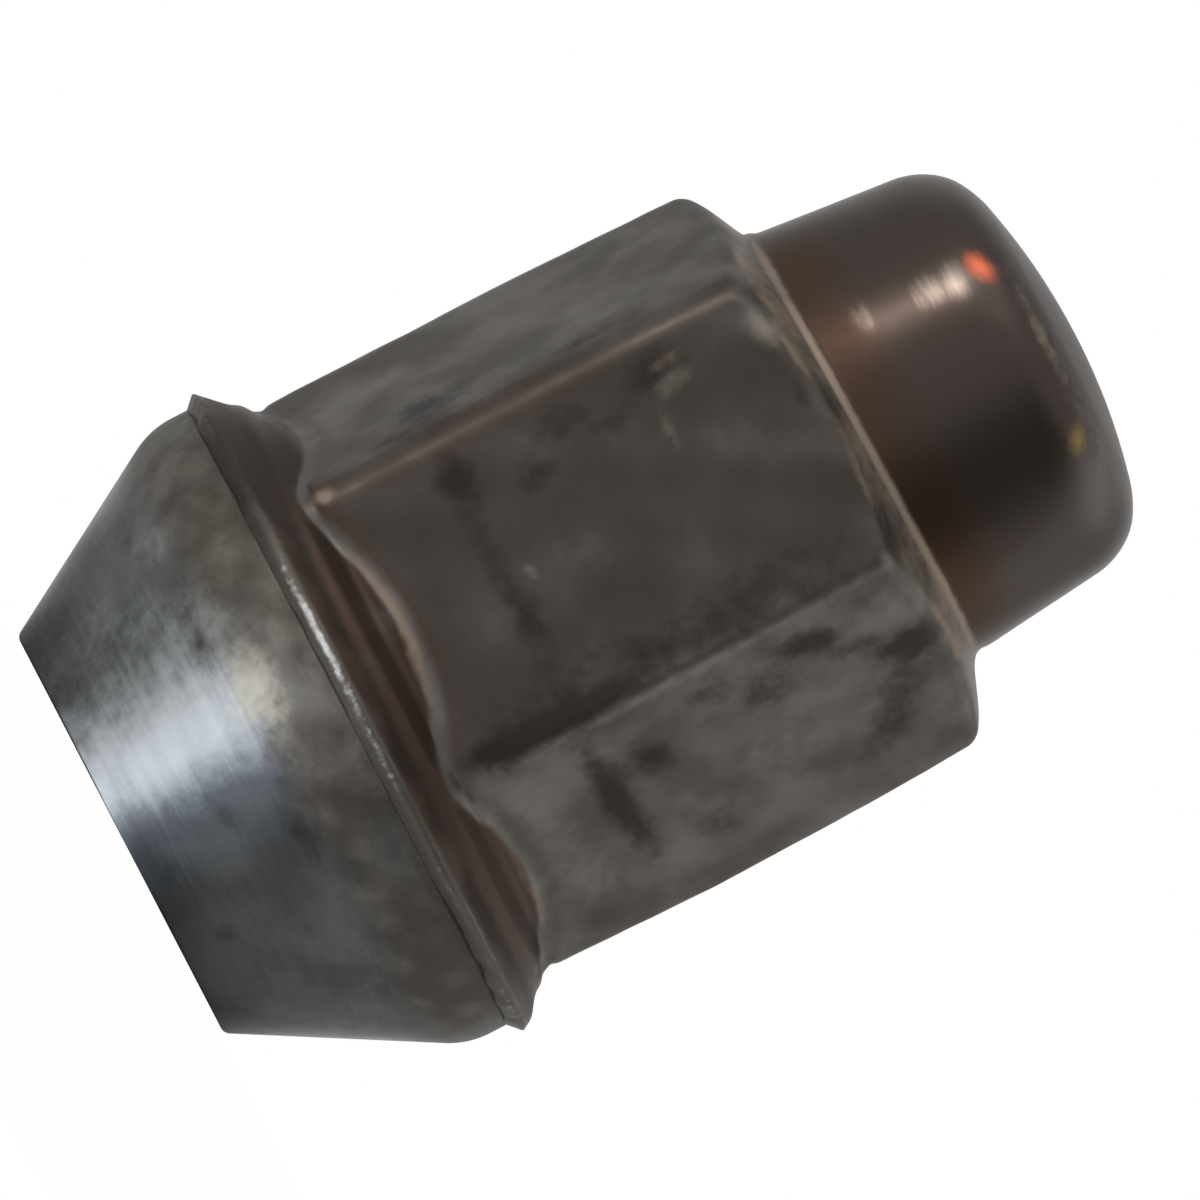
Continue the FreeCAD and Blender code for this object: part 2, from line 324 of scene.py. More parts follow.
def lofted_mesh(name: str, rings: np.ndarray, ends: Ends) -> bpy.types.Object:
    """Make a closed mesh object through rings of points.

    Args:
        name: Name of the object.
        rings: Points in millimetres, as ring, point, coordinate. With poles, the first
            and last ring lie on one point each.
        ends: How the loft is closed.

    Returns:
        Object linked to the scene, with smooth faces and sharp edges kept.
    """
    count = rings.shape[1]
    pairs = [(i, (i + 1) % count) for i in range(count)]
    if ends is Ends.POLES:
        inner = rings[1:-1]
        points = np.concatenate([rings[:1, 0], inner.reshape(-1, 3), rings[-1:, 0]])
        offset, last = 1, len(inner) - 1
    else:
        inner = rings
        points = inner.reshape(-1, 3)
        offset, last = 0, len(inner)
    faces: list[tuple[int, ...]] = []
    for row in range(last):
        low = offset + row * count
        high = offset + (row + 1) % len(inner) * count
        faces += [(low + i, low + j, high + j, high + i) for i, j in pairs]
    if ends is Ends.POLES:
        top = offset + last * count
        end = len(points) - 1
        faces += [(0, offset + j, offset + i) for i, j in pairs]
        faces += [(top + i, top + j, end) for i, j in pairs]
    piece = mesh_object(name, (points * MM).tolist(), faces)
    mesh = piece.data
    mesh.polygons.foreach_set("use_smooth", np.ones(len(faces), dtype=bool))
    mesh.set_sharp_from_angle(angle=SHARP_BEND)
    mesh.validate()
    mesh.update()
    return piece


def keep_mask(mesh: bpy.types.Mesh, name: str, values: np.ndarray) -> None:
    """Store a value from 0 to 1 for each point of a mesh, under a name that its material reads."""
    attribute = mesh.attributes.new(name, "FLOAT", "POINT")
    attribute.data.foreach_set("value", np.clip(values, 0, 1).astype(np.float32))


def keep_masks(piece: bpy.types.Object, masks: dict[str, np.ndarray], ends: Ends) -> None:
    """Store masks on a lofted mesh, one value for each point of its rings.

    Args:
        piece: Object made by lofted_mesh.
        masks: Values by name, as ring and point.
        ends: How the loft was closed.
    """
    for name, mask in masks.items():
        values = mask.reshape(-1)
        if ends is Ends.POLES:
            values = np.concatenate([mask[:1, 0], mask[1:-1].reshape(-1), mask[-1:, 0]])
        keep_mask(piece.data, name, values)


def bare_material(name: str) -> bpy.types.Material:
    """Make a material with no nodes yet.

    Args:
        name: Name of the material.

    Returns:
        The material.
    """
    made = bpy.data.materials.new(name)
    made.use_nodes = True
    made.node_tree.nodes.clear()
    return made


def add_node(
    tree: bpy.types.NodeTree,
    kind: str,
    settings: dict[str, object] | None = None,
    inputs: dict[int | str, object] | None = None,
) -> bpy.types.Node:
    """Add a node with its settings, and give its sockets values or links.

    Args:
        tree: Node tree that takes the node.
        kind: Blender's name of the node.
        settings: Values of the node's own properties.
        inputs: Values, or output sockets to link, by the input's name or number.

    Returns:
        The new node.
    """
    node = tree.nodes.new(kind)
    for key, value in (settings or {}).items():
        setattr(node, key, value)
    for key, value in (inputs or {}).items():
        if isinstance(value, bpy.types.NodeSocket):
            tree.links.new(value, node.inputs[key])
        else:
            node.inputs[key].default_value = value
    return node


@dataclass(frozen=True)
class Layer:
    """One thing that lies on, or is rubbed into, a metal surface.

    Attributes:
        mask: Name of the mesh mask that says where it is.
        colour: Colour as seen, in sRGB hex.
        roughness: Roughness there.
        metallic: How metallic it is there.
        grain: Size of the flecks that break up its edge, in millimetres.
        breakup: How much the flecks count against the mask, which counts 1.
        softness: Half width of its edge, as a part of the mask's range; larger is softer.
        strength: Largest share of the layer in the finish.
        relief: Height of the flecks, in millimetres.
        drawn: Whether the flecks run along the tool lines.
    """

    mask: str
    colour: str
    roughness: float
    metallic: float
    grain: float
    breakup: float = 0.6
    softness: float = 0.3
    strength: float = 1.0
    relief: float = 0.0
    drawn: bool = False


@dataclass(frozen=True)
class MetalFinish:
    """Worn metal: two tones of bare metal, turned or drawn lines, and layers over them.

    Attributes:
        name: Name of the material.
        light: Lighter tone of the metal.
        dark: Darker tone of the metal.
        cloud: Size of the clouds between both tones, in millimetres.
        line_pitch: Spacing of the tool lines, in millimetres.
        line_stretch: Size along the tool lines over their spacing.
        line_share: How much the lines change the tone.
        line_shade: How far the lines darken and lighten everything on the metal.
        roughness: Roughness of the bare metal.
        roughness_spread: How far clouds change the roughness.
        anisotropy: Pull of the gloss along the axis.
        edge_tint: Share of a clean metal's gloss that is left at grazing angles.
        bump: Height of the tool lines, in millimetres.
        layers: What lies on the metal, from below to above.
    """

    name: str
    light: str
    dark: str
    cloud: float
    line_pitch: float
    line_stretch: float
    line_share: float
    line_shade: float
    roughness: float
    roughness_spread: float
    anisotropy: float
    edge_tint: float
    bump: float
    layers: tuple[Layer, ...]

    def material(self) -> bpy.types.Material:
        """Make the material from its nodes.

        Returns:
            Material with one metal shader.
        """
        made = bare_material(self.name)
        tree = made.node_tree
        place = add_node(tree, "ShaderNodeTexCoord")
        point = add_node(
            tree, "ShaderNodeVectorMath", {"operation": "SCALE"},
            {0: place.outputs["Object"], "Scale": 1 / MM},
        ).outputs[0]
        cloud = add_node(
            tree, "ShaderNodeTexNoise", {},
            {"Vector": point, "Scale": 1 / self.cloud, "Detail": 3.0, "Roughness": 0.52},
        ).outputs[0]
        along = 1 / (self.line_pitch * self.line_stretch)
        line_point = add_node(
            tree, "ShaderNodeVectorMath", {"operation": "MULTIPLY"},
            {0: point, 1: (along, along, 1 / self.line_pitch)},
        ).outputs[0]
        lines = add_node(
            tree, "ShaderNodeTexNoise", {},
            {"Vector": line_point, "Scale": 1.0, "Detail": 3.0, "Roughness": 0.6},
        ).outputs[0]
        tone = add_node(
            tree, "ShaderNodeMix", {"data_type": "FLOAT"},
            {0: self.line_share, 2: cloud, 3: lines},
        ).outputs[0]
        tone = add_node(
            tree, "ShaderNodeMapRange", {"interpolation_type": "SMOOTHSTEP"},
            {0: tone, 1: NOISE_CORE[0], 2: NOISE_CORE[1], 3: 0.0, 4: 1.0},
        ).outputs[0]
        colour = add_node(
            tree, "ShaderNodeMix", {"data_type": "RGBA"},
            {0: tone, 6: linear(self.dark), 7: linear(self.light)},
        ).outputs[2]
        roughness = add_node(
            tree, "ShaderNodeMapRange", {},
            {
                0: tone, 1: 0.0, 2: 1.0,
                3: self.roughness + self.roughness_spread,
                4: self.roughness - self.roughness_spread,
            },
        ).outputs[0]
        metallic: object = 1.0
        relief = add_node(
            tree, "ShaderNodeMath", {"operation": "MULTIPLY"}, {0: lines, 1: self.bump}
        ).outputs[0]
        for layer in self.layers:
            mask = add_node(tree, "ShaderNodeAttribute", {"attribute_name": layer.mask}).outputs["Fac"]
            flecks = add_node(
                tree, "ShaderNodeTexNoise", {},
                {
                    "Vector": line_point if layer.drawn else point,
                    "Scale": (self.line_pitch if layer.drawn else 1.0) / layer.grain,
                    "Detail": 6.0, "Roughness": 0.65,
                },
            ).outputs[0]
            broken = add_node(
                tree, "ShaderNodeMath", {"operation": "MULTIPLY_ADD"},
                {0: flecks, 1: layer.breakup, 2: mask},
            ).outputs[0]
            middle = 0.5 + layer.breakup / 2
            share = add_node(
                tree, "ShaderNodeMapRange", {"interpolation_type": "SMOOTHSTEP"},
                {
                    0: broken, 1: middle - layer.softness, 2: middle + layer.softness,
                    3: 0.0, 4: layer.strength,
                },
            ).outputs[0]
            inside = add_node(
                tree, "ShaderNodeMapRange", {"interpolation_type": "SMOOTHSTEP"},
                {0: mask, 1: 0.0, 2: MASK_FLOOR, 3: 0.0, 4: 1.0},
            ).outputs[0]
            share = add_node(
                tree, "ShaderNodeMath", {"operation": "MULTIPLY"}, {0: share, 1: inside}
            ).outputs[0]
            colour = add_node(
                tree, "ShaderNodeMix", {"data_type": "RGBA"},
                {0: share, 6: colour, 7: linear(layer.colour)},
            ).outputs[2]
            roughness = add_node(
                tree, "ShaderNodeMix", {"data_type": "FLOAT"},
                {0: share, 2: roughness, 3: layer.roughness},
            ).outputs[0]
            metallic = add_node(
                tree, "ShaderNodeMix", {"data_type": "FLOAT"},
                {0: share, 2: metallic, 3: layer.metallic},
            ).outputs[0]
            if layer.relief:
                crust = add_node(
                    tree, "ShaderNodeMath", {"operation": "MULTIPLY"}, {0: share, 1: flecks}
                ).outputs[0]
                relief = add_node(
                    tree, "ShaderNodeMath", {"operation": "MULTIPLY_ADD"},
                    {0: crust, 1: layer.relief, 2: relief},
                ).outputs[0]
        shade = add_node(
            tree, "ShaderNodeMapRange", {},
            {
                0: lines, 1: NOISE_SPAN[0], 2: NOISE_SPAN[1],
                3: 1 - self.line_shade, 4: 1 + self.line_shade,
            },
        ).outputs[0]
        colour = add_node(
            tree, "ShaderNodeVectorMath", {"operation": "SCALE"}, {0: colour, "Scale": shade}
        ).outputs[0]
        raised = add_node(
            tree, "ShaderNodeBump", {},
            {"Strength": 1.0, "Distance": MM, "Height": relief},
        ).outputs[0]
        tangent = add_node(
            tree, "ShaderNodeTangent", {"direction_type": "RADIAL", "axis": "Z"}
        ).outputs[0]
        shader = add_node(
            tree, "ShaderNodeBsdfPrincipled", {},
            {
                "Base Color": colour,
                "Metallic": metallic,
                "Roughness": roughness,
                "Normal": raised,
                "Tangent": tangent,
                "Specular Tint": (self.edge_tint, self.edge_tint, self.edge_tint, 1.0),
                "Anisotropic": self.anisotropy,
                "Anisotropic Rotation": 0.25,
            },
        )
        add_node(tree, "ShaderNodeOutputMaterial", {}, {"Surface": shader.outputs[0]})
        return made


# Free-cutting steel, turned and left bare: a cool grey metal with fine rings round the
# axis that pull its gloss along the cone. Handling has darkened it in clouds and polished
# it in places, and the plain band at its top is oxidised to a mottled brown-grey. On the
# side toward the light, the polish, bright lines, light flecks, gold and thinner oxide
# also make a painted highlight on the seat and the band.
TURNED_STEEL = MetalFinish(
    name="turned_free_cutting_steel",
    light="#5b5d5e",
    dark="#434546",
    cloud=4.2,
    # Real tool lines are about 0.05 mm apart; they are drawn coarser so that they show.
    line_pitch=0.12,
    line_stretch=24.0,
    line_share=0.14,
    line_shade=0.025,
    roughness=0.44,
    roughness_spread=0.03,
    anisotropy=0.72,
    edge_tint=0.7,
    bump=0.0015,
    layers=(
        # Polish, and a painted highlight where the seat faces the light.
        Layer("polish_and_highlight", "#a0a4a6", 0.42, 1.0, 0.9, breakup=1.2, softness=0.6, strength=0.9),
        # Bright tool lines, gathered mostly into the seat's painted highlight.
        Layer("lines", "#bfc3c4", 0.38, 1.0, 0.42, breakup=1.5, softness=0.5, strength=0.42, drawn=True),
        # Oxide, thinned on the band's lit side to leave a painted highlight.
        Layer("oxide", "#4a443d", 0.68, 0.85, 1.5, breakup=0.9, softness=0.55, strength=0.94, relief=0.01),
        # Light flecks, gathered into a painted sheen on the band's lit side.
        Layer("fleck_and_sheen", "#8f8b83", 0.58, 0.95, 0.9, breakup=0.9, softness=0.6, strength=0.55, relief=0.006),
        # Gold flecks, and a painted glint on the band's lit side.
        Layer("gold_and_glint", "#c2bba6", 0.42, 1.0, 0.5, breakup=1.5, softness=0.6, strength=0.55),
        Layer("grime", "#2c2926", 0.65, 0.7, 0.7, breakup=1.0, softness=0.45, strength=0.85, relief=0.006),
    ),
)

# Thin steel sheet, deep drawn over the nut: satin and browned by heat and weather, greyer
# where hands and sockets rub it, lighter at the bent edges, with rust in its hollows. Its
# colours also hold painted light: shade on the flat that faces the camera and along its
# lower edge, highlight strokes and an orange glint on the round end, a reflection on the
# rim and the round end's lower side, highlights at the flare's bends and glints on the lip.
DRAWN_SHEET = MetalFinish(
    name="deep_drawn_steel_sheet",
    light="#5f5c59",
    dark="#4d4a47",
    cloud=3.0,
    # Draw lines of the sheet are a few hundredths apart; they are drawn coarser to show.
    line_pitch=0.26,
    line_stretch=6.0,
    line_share=0.06,
    line_shade=0.008,
    roughness=0.42,
    roughness_spread=0.05,
    anisotropy=0.3,
    edge_tint=0.65,
    bump=0.0015,
    layers=(
        # Brown tarnish, darkest on the flat that faces the camera, where it is painted shade.
        Layer("tarnish_and_shade", "#3b3531", 0.43, 1.0, 1.6, breakup=0.5, softness=0.55, strength=0.94),
        Layer("satin", "#403935", 0.33, 1.0, 2.5, breakup=0.2, softness=0.5, strength=1.0),
        Layer("warm", "#42342b", 0.33, 1.0, 1.2, breakup=0.4, softness=0.6, strength=0.96),
        # Greyer patches; those low on the lower side are a painted reflection.
        Layer("bare_and_reflection", "#5a5552", 0.36, 1.0, 1.8, breakup=0.5, softness=0.7, strength=0.85),
        # Painted highlight strokes on the round end.
        Layer("painted_highlight", "#877d76", 0.3, 1.0, 0.5, breakup=1.5, softness=0.6, strength=0.75, drawn=True),
        # Rubbed wear, and a painted reflection on the rim.
        Layer("rubbed_and_reflection", "#746e68", 0.55, 1.0, 0.5, breakup=1.0, softness=0.5, strength=0.75),
        # Dark stains, and painted shade along the middle flat's lower edge.
        Layer("stain_and_shade", "#272321", 0.55, 0.9, 0.8, breakup=1.1, softness=0.45, strength=0.85, relief=0.006),
        Layer("crust", "#524e49", 0.52, 0.95, 0.7, breakup=1.1, softness=0.5, strength=0.95, relief=0.01),
        Layer("rust", "#3e3028", 0.46, 0.85, 0.6, breakup=0.5, softness=0.5, strength=0.96, relief=0.012),
        Layer("grime", "#2a2420", 0.6, 0.8, 0.5, breakup=0.7, softness=0.45, strength=0.8),
        # Light tan scale, and a painted tan highlight at the bend between flare and flats.
        Layer("tan", "#7a6c5f", 0.5, 0.6, 0.5, breakup=0.8, softness=0.45, strength=0.9),
        Layer("gilt", "#988043", 0.4, 1.0, 0.3, breakup=0.7, softness=0.6, strength=0.6),
        # Painted orange glint on the round end's rim.
        Layer("orange_glint", "#d2694a", 0.33, 1.0, 0.4, breakup=1.5, softness=0.7, strength=0.78, drawn=True),
        # Worn bright lip, with painted glints where it faces the light.
        Layer("lip", "#c2c2c0", 0.38, 1.0, 0.4, breakup=1.6, softness=0.38, strength=0.85, relief=0.03),
    ),
)


@dataclass
class NutSizes:
    """Sizes shared by both pieces, as the solids have them.

    Attributes:
        bore: Radius of the thread's minor bore.
        thread: Radius of the thread's root.
        pitch: Pitch of the thread.
        countersink: Radius and depth of the countersink's mouth.
        end: Radius of the open end before its edge is rounded.
        end_edge: Radius of that edge.
        seat_angle: Angle between seat and axis, in degrees.
        band: Radius of the plain band over the seat.
        cone_top: Height where the seat meets the band.
        band_blend: Radius of the blend between seat and band.
        band_top: Height of the band's top, where the cap's skirt begins.
        wall: Thickness of the sheet.
        crown: Height and half distance across flats at base, crown and shoulder.
        edge: Radius of the hexagon's edges.
        shoulder: Height where shoulder and round end meet.
        shoulder_angle: Fall of the shoulder, in degrees.
        round_end: Radius of the round end at the shoulder.
        draft: Draft of the round end, in degrees.
        rim: Radius of the round end's rim.
        dome: Radius of the domed top.
        top: Height of the whole nut.
        core_half_flats: Half distance across flats of the steel inside.
        core_top: Height of the steel inside.
        clearance: Gap between the steel and the sheet over it.
    """

    bore: float = 5.188
    thread: float = 6.0
    pitch: float = 1.5
    countersink: tuple[float, float] = (6.388, 1.2)
    end: float = 7.488
    end_edge: float = 0.35
    seat_angle: float = 30.0
    band: float = 11.5997
    cone_top: float = 7.121
    band_blend: float = 3.0
    band_top: float = 8.521
    wall: float = 0.6
    crown: tuple[tuple[float, float], ...] = ((8.521, 9.37), (20.221, 9.5), (28.051, 9.24))
    edge: float = 1.2
    shoulder: float = 28.051
    shoulder_angle: float = 26.0
    round_end: float = 7.97
    draft: float = 6.0
    rim: float = 2.9
    dome: float = 24.0
    top: float = 36.121
    core_half_flats: float = 8.59
    core_top: float = 26.782
    clearance: float = 0.05

    @property
    def lip(self) -> tuple[float, float]:
        """Radius and height of the lip's tip."""
        reach = self.wall / math.sqrt(2)
        return self.band + reach, self.band_top + reach

    def half_flats(self, height: np.ndarray) -> np.ndarray:
        """Half distance across flats of the crowned hexagon at heights."""
        heights, halves = zip(*self.crown)
        return np.polyval(np.polyfit(heights, halves, 2), height)


@dataclass
class CapSheet:
    """Pressed sheet cap: flared skirt, hexagon, shoulder and round closed end.

    Attributes:
        sizes: Sizes of the nut.
        points: Points in each ring.
        bunching: How far the points of a ring crowd to the hexagon's edges.
        ray_reach: Length of the rays that find the skin.
        fan_height: Height of the point from which the rim's rings fan out.
        follow_top: Height up to which the rings follow the nicks of the lip.
        neck_blend: Radius of the hollow between skirt and hexagon.
        lip_edge: Radius of the lip's tip where it is unworn, and where it is worn.
        nick_depths: Mean and greatest depth of the lip's nicks.
        wide_side: Angle in degrees of the side that is swollen and falls steeply at the shoulder.
            The lip is unworn there and opposite it.
        wide_reach: Half width of the lip's unworn stretches, as a sine.
        shoulder_edge: Radius of the edge between flats and shoulder.
        shoulder_tilt: How far the shoulder is higher on one side and lower on the other.
        foot_blend: Radius of the hollow between shoulder and round end.
        end_shift: How far the round end stands off the axis, away from the wide side.
        end_depth: How far the round end's form reaches down into the hexagon's.
        edge_heights: Heights at which the radii of the edges are given.
        edge_radii: Worn radius of each edge of the hexagon at those heights, by its angle in degrees.
        flare_rings: Groove and bead of the flare.
        foot_bead: Bead at the foot of the round end.
        soft_rim: How much rounder the rim is worn.
        lip_swelling: Swelling of the lip on the wide side.
        steep_fall: How much deeper the shoulder falls on the wide side.
        clear_edge: Angle in degrees of the hexagon's edge that shows as a fine line.
        rusty_side: Angle in degrees at which the round end's foot is rustiest.
        grimy_side: Angle in degrees at which the flare is grimiest.
        creased_side: Angle in degrees of the light crease under the rim.
        rim_reflection_side: Angle in degrees at which the rim is lightest, rubbed there and with a painted
            reflection.
        finish: Finish of the sheet.
        dents: Shallow dents of the flats.
        stains_and_shade: Dark stains, and painted shade along the middle flat's lower edge.
        rubs: Rubbed places.
        tans: Places of light tan scale.
        bend_highlights: Stretches where the bend between flare and flat shows tan scale and a painted
            highlight.
        gilts: Places with a yellow tint.
        bare_and_reflection_marks: Greyer places of the round end; those on the lower flat's side are a
            painted reflection.
        highlight_strokes: Painted highlight strokes on the round end, where its gloss is brightest.
        orange_glints: Painted orange glint on the round end's rim.
        worn_lip_and_glints: Bright stretches of the lip, worn and with painted glints where it faces the
            light: angle and half width in degrees, strength.
        tarnish_and_shade_share: How brown each flat is; the flat facing the camera is darkest, which is
            painted shade.
    """

    sizes: NutSizes
    points: int = 408
    bunching: float = 0.55
    ray_reach: float = 15.0
    fan_height: float = 31.0
    follow_top: float = 10.4
    neck_blend: float = 0.7
    lip_edge: tuple[float, float] = (0.06, 0.26)
    nick_depths: tuple[float, float] = (0.06, 0.2)
    wide_side: float = 10.5
    wide_reach: float = 0.16
    shoulder_edge: float = 0.7
    shoulder_tilt: float = 0.17
    foot_blend: float = 0.25
    end_shift: float = 0.12
    end_depth: float = 1.4
    edge_heights: tuple[float, float, float] = (12.0, 17.0, 27.0)
    edge_radii: dict[float, tuple[float, float, float]] = field(
        default_factory=lambda: {
            -120.0: (1.3, 1.5, 1.3),
            -60.0: (1.5, 0.6, 0.9),
            0.0: (1.2, 0.7, 0.8),
            60.0: (1.1, 1.4, 1.2),
            120.0: (1.2, 0.9, 1.4),
            180.0: (1.6, 2.3, 1.6),
        }
    )
    flare_rings: tuple[Bead, Bead] = (Bead(10.78, 0.16, -0.07), Bead(10.22, 0.26, 0.14))
    foot_bead: Bead = Bead(28.1, 0.17, 0.1)
    soft_rim: Bead = Bead(35.45, 0.45, -0.09)
    lip_swelling: Bead = Bead(9.4, 0.35, 0.2)
    steep_fall: Bead = Bead(27.85, 0.4, -0.26)
    clear_edge: float = -120.0
    rusty_side: float = -107.0
    grimy_side: float = -135.0
    creased_side: float = -84.0
    rim_reflection_side: float = -34.0
    finish: MetalFinish = DRAWN_SHEET
    dents: tuple[Mark, ...] = (
        Mark(Flat.MIDDLE, -3.0, 15.6, 1.8, 0.9, 0, 0.06),
        Mark(Flat.MIDDLE, 2.4, 21.5, 3.0, 2.5, 0, 0.04),
        Mark(Flat.MIDDLE, -3.5, 23.0, 1.6, 1.8, 0, 0.05),
        Mark(Flat.LOWER, 0.4, 16.0, 1.5, 1.2, 0, 0.06),
        Mark(Flat.LOWER, 2.0, 24.0, 2.0, 1.2, -35, 0.05),
        Mark(Flat.UPPER, 2.5, 17.0, 1.5, 2.0, 0, 0.06),
        Mark(Flat.BACK, 1.0, 18.0, 2.0, 2.2, 20, 0.06),
        Mark(Flat.BACK_LOWER, -2.0, 22.0, 1.4, 1.6, 0, 0.06),
        Mark(Flat.BACK_UPPER, 0.5, 14.0, 2.4, 1.2, 10, 0.05),
    )
    stains_and_shade: tuple[Mark, ...] = (
        Mark(Flat.LOWER, -0.9, 15.3, 3.2, 0.62, 4, 1.1),
        Mark(Flat.LOWER, -2.0, 16.9, 1.1, 0.8, 20, 0.8),
        Mark(Flat.LOWER, -2.3, 21.3, 1.1, 1.3, 0, 0.6),
        Mark(Flat.LOWER, -3.5, 23.2, 0.6, 1.2, -8, 0.85),
        Mark(Flat.LOWER, -3.6, 19.4, 0.5, 0.9, 0, 0.6),
        Mark(Flat.LOWER, -1.9, 24.8, 1.9, 0.75, 47, 0.55),
        Mark(Flat.LOWER, 1.3, 25.0, 3.0, 1.0, -33, 0.65),
        Mark(Flat.LOWER, -1.0, 26.5, 0.7, 0.9, 0, 0.7),
        Mark(Flat.LOWER, 2.5, 18.0, 0.8, 1.0, 0, 0.5),
        Mark(Flat.MIDDLE, -3.7, 15.5, 0.9, 0.8, 10, 0.7),
        Mark(Flat.MIDDLE, -0.8, 15.2, 3.4, 0.5, 0, 0.5),
        Mark(Flat.MIDDLE, -2.6, 17.8, 0.5, 0.7, 0, 0.75),
        Mark(Flat.MIDDLE, -3.7, 19.2, 0.5, 1.2, 0, 0.5),
        Mark(Flat.MIDDLE, -3.9, 22.9, 0.7, 1.0, 15, 0.75),
        Mark(Flat.MIDDLE, -2.9, 20.9, 0.5, 0.8, 15, 0.5),
        Mark(Flat.MIDDLE, 1.6, 15.5, 1.0, 0.45, 0, 0.7),
        Mark(Flat.MIDDLE, -0.9, 26.8, 0.5, 0.4, 0, 0.6),
        # These three are painted shade along the middle flat's lower edge, widest near its base.
        Mark(Flat.MIDDLE, 4.6, 19.0, 1.2, 9.0, 0, 0.55),
        Mark(Flat.MIDDLE, 5.1, 13.0, 0.55, 1.6, 0, 0.9),
        Mark(Flat.MIDDLE, 5.2, 15.6, 0.35, 2.0, 0, 0.8),
        Mark(Flat.UPPER, 3.0, 15.8, 1.3, 1.3, 0, 0.8),
        Mark(Flat.UPPER, 4.4, 14.2, 0.6, 1.2, 0, 0.6),
        Mark(Flat.UPPER, 4.2, 20.8, 0.6, 2.4, 0, 0.55),
        Mark(Flat.BACK, -1.5, 16.8, 2.2, 0.5, 12, 0.75),
        Mark(Flat.BACK, 2.6, 23.4, 0.8, 1.6, 0, 0.7),
        Mark(Flat.BACK, 5.0, 14.0, 0.6, 1.8, 0, 0.8),
        Mark(Flat.BACK_LOWER, 1.8, 18.4, 0.7, 1.7, -12, 0.75),
        Mark(Flat.BACK_LOWER, -3.2, 25.0, 1.3, 0.5, 0, 0.7),
        Mark(Flat.BACK_UPPER, -2.2, 20.8, 2.0, 0.45, 30, 0.75),
        Mark(Flat.BACK_UPPER, 3.6, 15.2, 0.6, 1.2, 0, 0.7),
    )
    rubs: tuple[Mark, ...] = (
        Mark(Flat.MIDDLE, -3.3, 23.3, 0.35, 0.7, 12, 0.6),
        Mark(Flat.MIDDLE, -3.5, 26.8, 0.7, 0.45, 20, 1.0),
        Mark(Flat.MIDDLE, 0.3, 16.2, 0.35, 0.2, 30, 0.6),
        Mark(Flat.MIDDLE, -1.8, 22.4, 0.8, 0.3, -8, 0.4),
        Mark(Flat.UPPER, -0.5, 19.2, 1.6, 4.5, 0, 0.5),
        Mark(Flat.LOWER, -1.5, 12.7, 2.6, 1.0, 0, 0.6),
        Mark(Flat.LOWER, 2.0, 13.4, 1.6, 1.0, 0, 0.5),
        Mark(Flat.LOWER, -3.3, 26.3, 1.0, 0.7, 15, 0.6),
        Mark(Flat.LOWER, 0.6, 21.0, 1.4, 1.6, 15, 0.45),
        Mark(Flat.LOWER, -5.0, 19.5, 0.25, 8.0, 0, 0.45),
        Mark(Flat.BACK, 0.0, 20.5, 1.8, 0.7, 10, 0.6),
        Mark(Flat.BACK_LOWER, 0.6, 15.0, 1.0, 1.0, 0, 0.5),
    )
    tans: tuple[Mark, ...] = (
        Mark(Flat.MIDDLE, -5.3, 11.2, 0.3, 0.4, 0, 0.9),
        Mark(Flat.MIDDLE, -4.0, 23.4, 0.3, 0.7, 10, 0.4),
        Mark(Flat.BACK, 4.8, 11.2, 0.4, 0.5, 0, 0.8),
    )
    # Painted tan highlights where the flare bends into the flats.
    bend_highlights: tuple[Mark, ...] = (
        Mark(Flat.MIDDLE, -0.4, 11.6, 3.0, 1.5, 0, 0.72),
        Mark(Flat.LOWER, -3.0, 11.6, 1.6, 1.5, 0, 0.4),
        Mark(Flat.LOWER, 2.4, 11.6, 1.8, 1.5, 0, 0.3),
        Mark(Flat.BACK, 0.6, 11.6, 3.2, 1.5, 0, 0.7),
        Mark(Flat.BACK_LOWER, -1.0, 11.6, 2.0, 1.5, 0, 0.5),
    )
    gilts: tuple[Mark, ...] = (Mark(Flat.LOWER, -2.73, 34.4, 0.4, 0.32, 0, 0.75),)
    # The marks on the lower flat's side are a painted reflection.
    bare_and_reflection_marks: tuple[Mark, ...] = (
        Mark(Flat.LOWER, -0.6, 34.5, 1.7, 1.3, 0, 0.78),
        Mark(Flat.UPPER, 0.0, 34.0, 1.8, 1.0, 0, 0.45),
        Mark(Flat.LOWER, 0.7, 31.5, 1.5, 2.4, 0, 0.42),
        Mark(Flat.UPPER, -0.8, 32.0, 2.0, 2.6, 0, 0.4),
        Mark(Flat.BACK, 0.8, 32.5, 2.2, 1.6, 0, 0.4),
    )
    # Painted highlight strokes along the round end's highlight.
    highlight_strokes: tuple[Mark, ...] = (
        Mark(Flat.MIDDLE, -2.4, 32.1, 0.6, 0.45, 0, 0.5),
        Mark(Flat.MIDDLE, -2.3, 33.3, 0.65, 0.65, 0, 0.7),
        Mark(Flat.MIDDLE, -2.6, 29.9, 0.55, 0.35, 0, 0.5),
    )
    # Painted orange glint at the rim.
    orange_glints: tuple[Mark, ...] = (Mark(Flat.MIDDLE, -2.4, 34.25, 0.55, 0.34, 20, 1.0),)
    # The stretch facing the light is mostly painted glint.
    worn_lip_and_glints: tuple[tuple[float, float, float], ...] = (
        (-94.0, 10.0, 0.9),
        (-74.0, 10.0, 0.35),
        (-44.0, 14.0, 0.15),
        (-12.0, 12.0, 0.2),
        (-150.0, 18.0, 0.15),
        (60.0, 20.0, 0.7),
        (120.0, 25.0, 0.5),
    )
